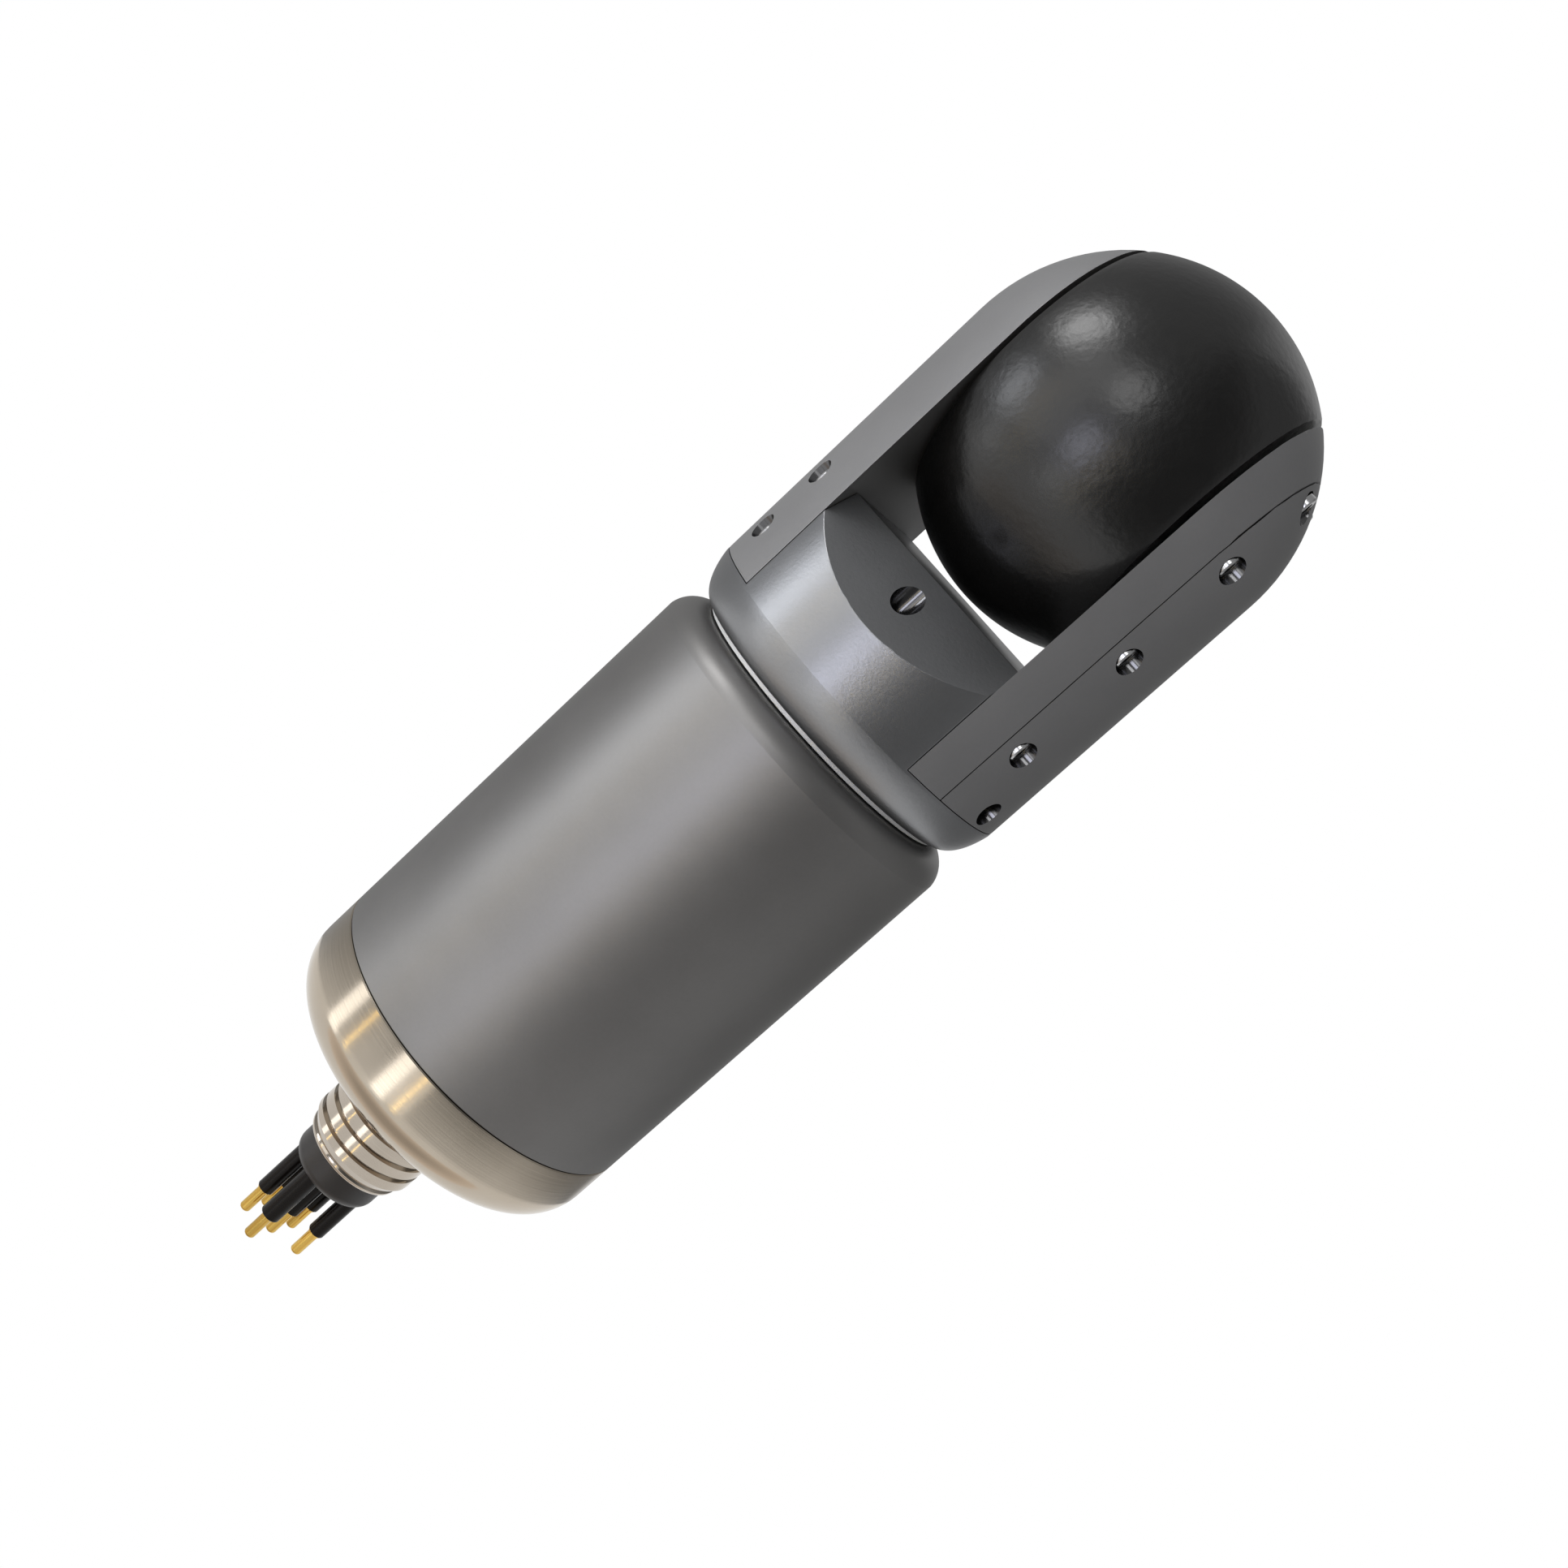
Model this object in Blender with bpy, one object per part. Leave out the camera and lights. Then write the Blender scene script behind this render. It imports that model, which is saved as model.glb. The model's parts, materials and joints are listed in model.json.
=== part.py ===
"""Dual-axis scanning sonar head: a pan head with a forked pair of arms and a tilting transducer ball."""

import math

import bmesh
import bpy
from mathutils import Matrix, Vector

# Driving sizes, in metres. The origin is on the pan axis, in the middle of the clamp band round the housing.

# Housing
HOUSING_RADIUS = 0.0325
HOUSING_WALL = 0.0045
HOUSING_LENGTH = 0.0805
HOUSING_SHOULDER = 0.0053
HOUSING_TOP_WALL = 0.0060
CLAMP_HEIGHT = 0.0375
MOTOR_STEP_DROP = 0.0249
MOTOR_STEP_DEPTH = 0.0030

# End cap
END_CAP_HEIGHT = 0.0161
END_CAP_FILLET = 0.0079
END_CAP_FLOOR = 0.0096
SPOT_DEPTH = 0.0005
SPIGOT_HEIGHT = 0.0080
SPIGOT_WALL = 0.0057
O_RING_SECTION = 0.0020
O_RING_HEIGHT = 0.0043

# Bulkhead connector
CONNECTOR_RADIUS = 0.0111
CONNECTOR_LENGTH = 0.0200
CONNECTOR_TAPER = 0.0030
CONNECTOR_LIP = 0.0004
SHANK_RADIUS = 0.0060
NUT_HEIGHT = 0.0045
NUT_RADIUS = 0.0100
INSERT_RADIUS = 0.0088
INSERT_LENGTH = 0.0061
INSERT_ROUND = 0.0022
INSERT_DEPTH = 0.0120
SLEEVE_RADIUS = 0.00165
SLEEVE_LENGTH = 0.0110
PIN_RADIUS = 0.0011
PIN_REACH = 0.00585
PIN_DEPTH = 0.0080
PIN_CIRCLE = 0.0062
PIN_FIRST_ANGLE = 23.7
PIN_PLACES = 6
EMPTY_PLACE = 5

# Pan drive
ROTARY_GAP = 0.0009
FLANGE_RIM_WALL = 0.0008
FLANGE_THICKNESS = 0.0034
FLANGE_FLOOR = 0.0011
SHAFT_RADIUS = 0.0040
SHAFT_BORE = 0.0018
SHAFT_TAIL = 0.0010
BEARING_RADIUS = 0.0107
BEARING_WIDTH = 0.0068
BEARING_SPACE = 0.0022
SPACER_WALL = 0.0026
BOSS_WALL = 0.0040
SEAL_RADIUS = 0.0095
SEAL_HEIGHT = 0.0048
PAN_MOTOR_RADIUS = 0.0200
PAN_MOTOR_LENGTH = 0.0225
PAN_MOTOR_WALL = 0.0030
MOTOR_FLANGE = 0.0030
ROTOR_RADIUS = 0.0120
RING_THICKNESS = 0.0010
RING_GROOVE = 0.0015
RING_REACH = 0.0030
RING_SWEEP = 325.0
SLIP_RING_RADIUS = 0.0105
SLIP_RING_LENGTH = 0.0115
SLIP_RING_WALL = 0.0030
BOARD_EDGE = 0.0030
BOARD_HOLE = 0.0120
BOARD_THICKNESS = 0.0016

# Pan head
HEAD_LOWER_INSET = 0.0041
HEAD_LOWER_HEIGHT = 0.0074
ARM_FOOT_HEIGHT = 0.0081
THROAT_HEIGHT = 0.0302
BALL_CLEARANCE = 0.0012
THROAT_CHAMFER = 0.0118
ARM_THICKNESS = 0.0130
COVER_SPLIT = 0.0060
BALL_SIDE_GAP = 0.0010
THROAT_SCREW_INSET = 0.0068
THROAT_SEAT_HEIGHT = 0.0106

# Tilt drive
TILT_MOTOR_RADIUS = 0.0080
MOTOR_END_WALL = 0.0058
TILT_MOTOR_HEIGHT = 0.0186
TILT_SHAFT_RADIUS = 0.0040
TILT_BORE_DEPTH = 0.0105
TILT_BEARING_RADIUS = 0.0080
LEFT_BEARING_WIDTH = 0.0050
RIGHT_BEARING_WIDTH = 0.0028
TILT_SEAL_WIDTH = 0.0010
PULLEY_RADIUS = 0.0072
PULLEY_RATIO = 2.0
PULLEY_WIDTH = 0.0027
PULLEY_FLANGE = 0.0003
PULLEY_FLANGE_RISE = 0.0008
MOTOR_SHAFT_RADIUS = 0.0015
MOTOR_SHAFT_HOLE = 0.0060
MOTOR_SHAFT_GRIP = 0.0045
DRIVE_HOLE_RADIUS = 0.0030
BELT_THICKNESS = 0.0009
CAVITY_DEPTH = 0.0040
CAVITY_MARGIN = 0.0016
COVER_SEAL_WIDTH = 0.0012
COVER_SEAL_DEPTH = 0.0010
COVER_SEAL_OFFSET = 0.0010

# Transducer ball
ELEMENT_RADIUS = 0.0100
PLUG_THICKNESS = 0.0050
BALL_WEB = 0.0040

# Screws: insets are from the column's edge where the arm or cover begins, and each has its twin at the back
SCREW_RADIUS = 0.00125
SCREW_HEAD_RADIUS = 0.0021
SCREW_HEAD_HEIGHT = 0.0012
SCREW_GRIP = 0.0055
SOCKET_RADIUS = 0.0011
SOCKET_DEPTH = 0.0007
COUNTERBORE_RADIUS = 0.0024
COVER_SEAT = 0.0007
LEFT_SEAT = 0.0050
COVER_SCREW_INSET = 0.00425
COVER_SCREW_DROP = 0.0203
DOME_SCREW_INSET = 0.00325
DOME_SCREW_ANGLE = 64.0
LONG_SCREW_HEIGHT = 0.0140
LOW_SCREW_INSET = 0.01045
LOW_SCREW_HEIGHT = 0.0033
LEFT_SCREW_INSET = 0.0081
LEFT_SCREW_HEIGHTS = (0.0198, 0.0073)

# Clearances
FIT = 0.0003
SEAM = 0.0002
SCREW_PLAY = 0.0003

# Facets
SIDES = 36
SIDES_MEDIUM = 24
SIDES_SMALL = 14
SIDES_SCREW = 8
SECTION_SIDES = 6
ARC_STEPS = 5
MERGE = 0.000001
SHARP_ANGLE = 35.0

# Levels worked out from the driving sizes
SEAM_Z = -CLAMP_HEIGHT
HOUSING_TOP_Z = SEAM_Z + HOUSING_LENGTH
CAP_FACE_Z = SEAM_Z - END_CAP_HEIGHT
CAP_FLOOR_Z = CAP_FACE_Z + END_CAP_FLOOR
SPIGOT_TOP_Z = SEAM_Z + SPIGOT_HEIGHT
BORE_RADIUS = HOUSING_RADIUS - HOUSING_WALL
STEP_Z = HOUSING_TOP_Z - MOTOR_STEP_DROP
SPOT_Z = CAP_FACE_Z + SPOT_DEPTH
CONNECTOR_TOP_Z = SPOT_Z - SEAM
CONNECTOR_END_Z = CONNECTOR_TOP_Z - CONNECTOR_LENGTH
INSERT_FACE_Z = CONNECTOR_END_Z - INSERT_LENGTH
SLEEVE_END_Z = INSERT_FACE_Z - SLEEVE_LENGTH
HEAD_Z = HOUSING_TOP_Z + ROTARY_GAP
FLANGE_Z = HOUSING_TOP_Z + FIT
ARM_FOOT_Z = HEAD_Z + ARM_FOOT_HEIGHT
THROAT_Z = HEAD_Z + THROAT_HEIGHT
TILT_Z = THROAT_Z + BALL_CLEARANCE + HOUSING_RADIUS
TILT_MOTOR_Z = HEAD_Z + TILT_MOTOR_HEIGHT
HEAD_LOWER_RADIUS = HOUSING_RADIUS - HEAD_LOWER_INSET
FLANGE_RADIUS = HEAD_LOWER_RADIUS - FLANGE_RIM_WALL - FIT
BOARD_RADIUS = BORE_RADIUS - BOARD_EDGE
ARM_X = HOUSING_RADIUS - ARM_THICKNESS
FLAT_X = ARM_X - FIT
COVER_X = ARM_X + COVER_SPLIT
BALL_X = ARM_X - BALL_SIDE_GAP
TILT_MOTOR_LENGTH = 2 * FLAT_X - 2 * FIT - MOTOR_END_WALL
BALL_POCKET_DEPTH = 2 * BALL_X - TILT_BORE_DEPTH - BALL_WEB
ELEMENT_LENGTH = BALL_POCKET_DEPTH - PLUG_THICKNESS - FIT - SEAM
MOTOR_PULLEY_RADIUS = PULLEY_RADIUS / PULLEY_RATIO
PULLEY_X = COVER_X + FIT
BEARING_BORE = SHAFT_RADIUS + FIT
TILT_BORE = TILT_SHAFT_RADIUS + FIT


def finish(name, colour, roughness, metallic):
    """A plain finish: base colour, roughness and metallic value."""
    made = bpy.data.materials.new(name)
    made.use_nodes = True
    shader = made.node_tree.nodes["Principled BSDF"]
    shader.inputs["Base Color"].default_value = (*colour, 1.0)
    shader.inputs["Roughness"].default_value = roughness
    shader.inputs["Metallic"].default_value = metallic
    return made


def make_finishes():
    """Every finish on the object, by name."""
    values = {
        "grey_anodised": ((0.16, 0.16, 0.16), 0.42, 0.6),
        "stainless": ((0.62, 0.58, 0.52), 0.22, 1.0),
        "black_moulding": ((0.012, 0.012, 0.013), 0.38, 0.0),
        "rubber": ((0.03, 0.028, 0.027), 0.6, 0.0),
        "gold": ((0.83, 0.60, 0.22), 0.2, 1.0),
        "steel": ((0.55, 0.55, 0.56), 0.3, 1.0),
        "motor_steel": ((0.25, 0.26, 0.28), 0.45, 0.8),
        "board": ((0.02, 0.16, 0.06), 0.5, 0.0),
        "ceramic": ((0.72, 0.66, 0.52), 0.6, 0.0),
        "plastic": ((0.10, 0.10, 0.11), 0.5, 0.0),
    }
    return {name: finish(name, *value) for name, value in values.items()}


def arc(centre_r, centre_z, radius, start, end, steps=ARC_STEPS):
    """Points of a round stretch of a profile, from one angle to another in degrees."""
    angles = [math.radians(start + (end - start) * step / steps) for step in range(steps + 1)]
    return [(centre_r + radius * math.cos(a), centre_z + radius * math.sin(a)) for a in angles]


def turned(profile, sides=SIDES, sweep=360.0):
    """A profile of (radius, height) points spun about Z. A profile that meets the axis stays open there."""
    mesh = bmesh.new()
    points = [mesh.verts.new((radius, 0.0, height)) for radius, height in profile]
    pairs = list(zip(points, points[1:]))
    if min(radius for radius, height in profile) > MERGE:
        pairs.append((points[-1], points[0]))
    lines = [mesh.edges.new(pair) for pair in pairs]
    whole = sweep >= 360.0
    if not whole:
        mesh.faces.new(points)
    bmesh.ops.spin(
        mesh,
        geom=points + lines,
        cent=(0.0, 0.0, 0.0),
        axis=(0.0, 0.0, 1.0),
        angle=math.radians(sweep),
        steps=sides,
        use_merge=whole,
    )
    if not whole:
        close_ends(mesh)
    bmesh.ops.remove_doubles(mesh, verts=mesh.verts, dist=MERGE)
    bmesh.ops.recalc_face_normals(mesh, faces=mesh.faces)
    return mesh


def close_ends(mesh):
    """Fill whatever rim is still open."""
    rim = [edge for edge in mesh.edges if edge.is_boundary]
    bmesh.ops.holes_fill(mesh, edges=rim)


def along_x(mesh):
    """Turn a mesh spun about Z so that its axis runs along X, top towards +X."""
    mesh.transform(Matrix.Rotation(math.radians(90.0), 4, "Y"))
    return mesh


def slice_off(mesh, point, normal):
    """Cut away the side that the normal points to, and close the cut."""
    everything = mesh.verts[:] + mesh.edges[:] + mesh.faces[:]
    bmesh.ops.bisect_plane(
        mesh, geom=everything, dist=MERGE, plane_co=point, plane_no=normal, clear_outer=True
    )
    close_ends(mesh)
    bmesh.ops.recalc_face_normals(mesh, faces=mesh.faces)


def add_rod(mesh, radius, start, end, sides=SIDES_SCREW):
    """Add a plain round bar between two points."""
    start = Vector(start)
    way = Vector(end) - start
    turn = Vector((0.0, 0.0, 1.0)).rotation_difference(way).to_matrix().to_4x4()
    bmesh.ops.create_cone(
        mesh,
        cap_ends=True,
        segments=sides,
        radius1=radius,
        radius2=radius,
        depth=way.length,
        matrix=Matrix.Translation(start + way / 2) @ turn,
    )


def rods(bars, sides=SIDES_SCREW):
    """Several separate bars, each (radius, start, end), in one mesh."""
    mesh = bmesh.new()
    for radius, start, end in bars:
        add_rod(mesh, radius, start, end, sides)
    return mesh


def box(low, high):
    """A block between two corners."""
    mesh = bmesh.new()
    bmesh.ops.create_cube(mesh, size=1.0)
    low = Vector(low)
    high = Vector(high)
    for vert in mesh.verts:
        vert.co = (low + high) / 2 + vert.co * (high - low)
    return mesh


def drive_outline(offset):
    """The outline round both pulleys, in (y, z), at an offset outside their grooves."""
    upper = PULLEY_RADIUS + offset
    lower = MOTOR_PULLEY_RADIUS + offset
    lean = math.degrees(math.asin((upper - lower) / (TILT_Z - TILT_MOTOR_Z)))
    top = arc(0.0, TILT_Z, upper, -lean, 180.0 + lean, 2 * ARC_STEPS)
    bottom = arc(0.0, TILT_MOTOR_Z, lower, 180.0 + lean, 360.0 - lean, 2 * ARC_STEPS)
    return top + bottom


def prism(outline, x_low, x_high):
    """An outline in (y, z) drawn out along X."""
    mesh = bmesh.new()
    face = mesh.faces.new([mesh.verts.new((x_low, y, z)) for y, z in outline])
    grown = bmesh.ops.extrude_face_region(mesh, geom=[face])
    tops = [item for item in grown["geom"] if isinstance(item, bmesh.types.BMVert)]
    bmesh.ops.translate(mesh, vec=(x_high - x_low, 0.0, 0.0), verts=tops)
    bmesh.ops.recalc_face_normals(mesh, faces=mesh.faces)
    return mesh


def band(outer, inner, x_low, x_high):
    """A closed band between two like outlines in (y, z), drawn out along X."""
    mesh = bmesh.new()
    rings = [
        [mesh.verts.new((x, y, z)) for y, z in outline]
        for x, outline in ((x_low, outer), (x_high, outer), (x_high, inner), (x_low, inner))
    ]
    count = len(outer)
    for ring, following in zip(rings, rings[1:] + rings[:1]):
        for index in range(count):
            after = (index + 1) % count
            mesh.faces.new((ring[index], ring[after], following[after], following[index]))
    bmesh.ops.recalc_face_normals(mesh, faces=mesh.faces)
    return mesh


def place(name, mesh, look, parent=None):
    """Make a named object of a mesh, give it its finish and hang it on its axis."""
    data = bpy.data.meshes.new(name)
    mesh.to_mesh(data)
    mesh.free()
    data.shade_smooth()
    data.set_sharp_from_angle(angle=math.radians(SHARP_ANGLE))
    if look:
        data.materials.append(look)
    made = bpy.data.objects.new(name, data)
    bpy.context.scene.collection.objects.link(made)
    made.parent = parent
    return made


def carve(target, name, mesh, operation="DIFFERENCE", parent=None):
    """Apply a hidden tool mesh to an object with a Boolean."""
    tool = place(f"tool_{target.name}_{name}", mesh, None, parent)
    tool.hide_render = True
    tool.display_type = "WIRE"
    step = target.modifiers.new(name, "BOOLEAN")
    step.operation = operation
    step.solver = "EXACT"
    step.object = tool


def axis_empty(name, location, parent=None):
    """An empty on a joint's axis, which carries the pieces that turn about it."""
    made = bpy.data.objects.new(name, None)
    bpy.context.scene.collection.objects.link(made)
    made.location = location
    made.parent = parent
    return made


def both_ways(places):
    """Each (y, z) place and its twin at the back."""
    return [(side * y, z) for y, z in places for side in (1.0, -1.0)]


def column_edge(x):
    """How far the round column reaches along Y on a plane across X."""
    return math.sqrt(HOUSING_RADIUS**2 - x**2)


def cover_screw_places():
    """The short cover screws: beside the tilt axis, below it and on the dome."""
    edge = column_edge(COVER_X)
    side = edge - COVER_SCREW_INSET
    dome = edge - DOME_SCREW_INSET
    angle = math.radians(DOME_SCREW_ANGLE)
    top = (-dome * math.cos(angle), TILT_Z + dome * math.sin(angle))
    return both_ways([(-side, TILT_Z), (-side, TILT_Z - COVER_SCREW_DROP), top])


def long_screw_places():
    """The long cover screws, which reach through the right arm into the base."""
    edge = column_edge(COVER_X)
    upper = (COVER_SCREW_INSET - edge, ARM_FOOT_Z + LONG_SCREW_HEIGHT)
    lower = (LOW_SCREW_INSET - edge, ARM_FOOT_Z + LOW_SCREW_HEIGHT)
    return both_ways([upper, lower])


def left_screw_places():
    """The screws that hold the left arm to the base."""
    side = LEFT_SCREW_INSET - column_edge(ARM_X)
    return both_ways([(side, ARM_FOOT_Z + height) for height in LEFT_SCREW_HEIGHTS])


def ring_profile(inner, outer, low, high):
    """The section of a plain ring."""
    return [(inner, high), (outer, high), (outer, low), (inner, low)]


def o_ring_profile(middle, height):
    """The round section of an O-ring."""
    whole = arc(middle, height, O_RING_SECTION / 2, 0.0, 360.0, SECTION_SIDES)
    return whole[:-1]


def end_cap(looks):
    """The turned end cap, with its spigot, O-ring grooves and a spot face round the connector hole."""
    groove = O_RING_SECTION / 2 + FIT
    spigot = BORE_RADIUS - FIT
    inner = spigot - SPIGOT_WALL
    ring_z = SEAM_Z + O_RING_HEIGHT
    seat = SHANK_RADIUS + FIT + O_RING_SECTION
    spot = CONNECTOR_RADIUS + FIT
    profile = [
        (SHANK_RADIUS + FIT, CAP_FLOOR_Z),
        (SHANK_RADIUS + FIT, SPOT_Z),
        (seat - groove, SPOT_Z),
        (seat - groove, SPOT_Z + 2 * groove),
        (seat + groove, SPOT_Z + 2 * groove),
        (seat + groove, SPOT_Z),
        (spot, SPOT_Z),
        (spot, CAP_FACE_Z),
    ]
    profile += arc(HOUSING_RADIUS - END_CAP_FILLET, CAP_FACE_Z + END_CAP_FILLET, END_CAP_FILLET, -90.0, 0.0)
    profile += [
        (HOUSING_RADIUS, SEAM_Z),
        (spigot, SEAM_Z),
        (spigot, ring_z - groove),
        (spigot - 2 * groove, ring_z - groove),
        (spigot - 2 * groove, ring_z + groove),
        (spigot, ring_z + groove),
        (spigot, SPIGOT_TOP_Z),
        (inner, SPIGOT_TOP_Z),
        (inner, CAP_FLOOR_Z),
    ]
    place("end_cap", turned(profile), looks["stainless"])
    ring = o_ring_profile(spigot - groove, ring_z)
    place("end_cap_o_ring", turned(ring, SIDES_MEDIUM), looks["rubber"])
    ring = o_ring_profile(seat, SPOT_Z + groove)
    place("connector_o_ring", turned(ring, SIDES_SMALL), looks["rubber"])


def main_housing(looks):
    """The hollow housing: open below, with a bearing boss, a seal bore and a step for the motor above."""
    inner_top = HOUSING_TOP_Z - HOUSING_TOP_WALL
    upper_bore = BORE_RADIUS - MOTOR_STEP_DEPTH
    bearing_bore = BEARING_RADIUS + FIT
    bearing_top = STEP_Z + 2 * BEARING_WIDTH + BEARING_SPACE + 4 * FIT
    seal_bore = SEAL_RADIUS + FIT
    seal_z = HOUSING_TOP_Z - SEAL_HEIGHT - 2 * FIT
    boss = bearing_bore + BOSS_WALL
    groove_top = STEP_Z - MOTOR_FLANGE - 2 * FIT
    profile = [(HOUSING_RADIUS, SEAM_Z + SEAM)]
    profile += arc(
        HOUSING_RADIUS - HOUSING_SHOULDER, HOUSING_TOP_Z - HOUSING_SHOULDER, HOUSING_SHOULDER, 0.0, 90.0
    )
    profile += [
        (seal_bore, HOUSING_TOP_Z),
        (seal_bore, seal_z),
        (SHAFT_RADIUS + 2 * FIT, seal_z),
        (SHAFT_RADIUS + 2 * FIT, bearing_top),
        (bearing_bore, bearing_top),
        (bearing_bore, STEP_Z),
        (boss, STEP_Z),
        (boss, inner_top),
        (upper_bore, inner_top),
        (upper_bore, STEP_Z),
        (BORE_RADIUS, STEP_Z),
        (BORE_RADIUS, groove_top),
        (BORE_RADIUS + RING_GROOVE, groove_top),
        (BORE_RADIUS + RING_GROOVE, groove_top - RING_THICKNESS - 2 * FIT),
        (BORE_RADIUS, groove_top - RING_THICKNESS - 2 * FIT),
        (BORE_RADIUS, SEAM_Z + SEAM),
    ]
    place("main_housing", turned(profile), looks["grey_anodised"])
    ring = ring_profile(
        BORE_RADIUS - RING_REACH,
        BORE_RADIUS + RING_GROOVE - FIT,
        groove_top - RING_THICKNESS - FIT,
        groove_top - FIT,
    )
    place("retaining_ring", turned(ring, SIDES_SMALL, RING_SWEEP), looks["steel"])
    seal = ring_profile(BEARING_BORE, SEAL_RADIUS, seal_z + FIT, HOUSING_TOP_Z - FIT)
    place("shaft_seal", turned(seal, SIDES_SMALL), looks["rubber"])
    lower = STEP_Z + FIT
    spacer = lower + BEARING_WIDTH + FIT
    upper = spacer + BEARING_SPACE + FIT
    race = BEARING_RADIUS - SPACER_WALL
    parts = (
        ("pan_bearing_lower", BEARING_BORE, lower, BEARING_WIDTH),
        ("bearing_spacer", race, spacer, BEARING_SPACE),
        ("pan_bearing_upper", BEARING_BORE, upper, BEARING_WIDTH),
    )
    for name, inner, low, width in parts:
        ring = ring_profile(inner, BEARING_RADIUS, low, low + width)
        place(name, turned(ring, SIDES_SMALL), looks["steel"])


def pin_places():
    """The centre of each contact pin, in (x, y): one in the middle and a ring with one place left empty."""
    places = [(0.0, 0.0)]
    for index in range(PIN_PLACES):
        if index != EMPTY_PLACE:
            angle = math.radians(PIN_FIRST_ANGLE + 360.0 / PIN_PLACES * index)
            places.append((PIN_CIRCLE * math.cos(angle), PIN_CIRCLE * math.sin(angle)))
    return places


def connector(looks):
    """The bulkhead connector: shell, nut, rubber insert with its sleeves, and contact pins."""
    socket = INSERT_RADIUS + FIT
    socket_z = CONNECTOR_END_Z + INSERT_DEPTH
    shank_z = CAP_FLOOR_Z + SEAM + NUT_HEIGHT + FIT
    profile = [
        (SHANK_RADIUS, shank_z),
        (SHANK_RADIUS, CONNECTOR_TOP_Z),
        (CONNECTOR_RADIUS, CONNECTOR_TOP_Z),
        (CONNECTOR_RADIUS, CONNECTOR_END_Z + CONNECTOR_TAPER),
        (socket + CONNECTOR_LIP, CONNECTOR_END_Z),
        (socket, CONNECTOR_END_Z),
        (socket, socket_z),
        (SHANK_RADIUS / 2, socket_z),
        (SHANK_RADIUS / 2, shank_z),
    ]
    place("connector_shell", turned(profile, SIDES_MEDIUM), looks["stainless"])
    nut_z = CAP_FLOOR_Z + SEAM
    nut = rods([(NUT_RADIUS, (0.0, 0.0, nut_z), (0.0, 0.0, nut_z + NUT_HEIGHT))], 6)
    nut = place("connector_nut", nut, looks["steel"])
    hole = rods(
        [(SHANK_RADIUS + FIT, (0.0, 0.0, nut_z - NUT_HEIGHT), (0.0, 0.0, nut_z + 2 * NUT_HEIGHT))],
        SIDES_SMALL,
    )
    carve(nut, "hole", hole)
    profile = [(0.0, socket_z - FIT), (INSERT_RADIUS, socket_z - FIT)]
    profile += arc(INSERT_RADIUS - INSERT_ROUND, INSERT_FACE_Z + INSERT_ROUND, INSERT_ROUND, 0.0, -90.0, 4)
    profile += [(0.0, INSERT_FACE_Z)]
    insert = place("connector_insert", turned(profile, SIDES_MEDIUM), looks["rubber"])
    root_z = INSERT_FACE_Z + INSERT_ROUND
    sleeves = [(SLEEVE_RADIUS, (x, y, SLEEVE_END_Z), (x, y, root_z)) for x, y in pin_places()]
    carve(insert, "sleeves", rods(sleeves), "UNION")
    pin_root = INSERT_FACE_Z + PIN_DEPTH
    bore = PIN_RADIUS + FIT
    holes = [(bore, (x, y, SLEEVE_END_Z - FIT), (x, y, pin_root + FIT)) for x, y in pin_places()]
    carve(insert, "pin_holes", rods(holes))
    tip_z = SLEEVE_END_Z - PIN_REACH
    half = PIN_RADIUS / 2
    pin = [(0.0, pin_root), (PIN_RADIUS, pin_root), (PIN_RADIUS, tip_z + half), (half, tip_z), (0.0, tip_z)]
    for number, (x, y) in enumerate(pin_places(), 1):
        made = place(f"contact_pin_{number}", turned(pin, SIDES_SCREW), looks["gold"])
        made.location = (x, y, 0.0)


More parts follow.
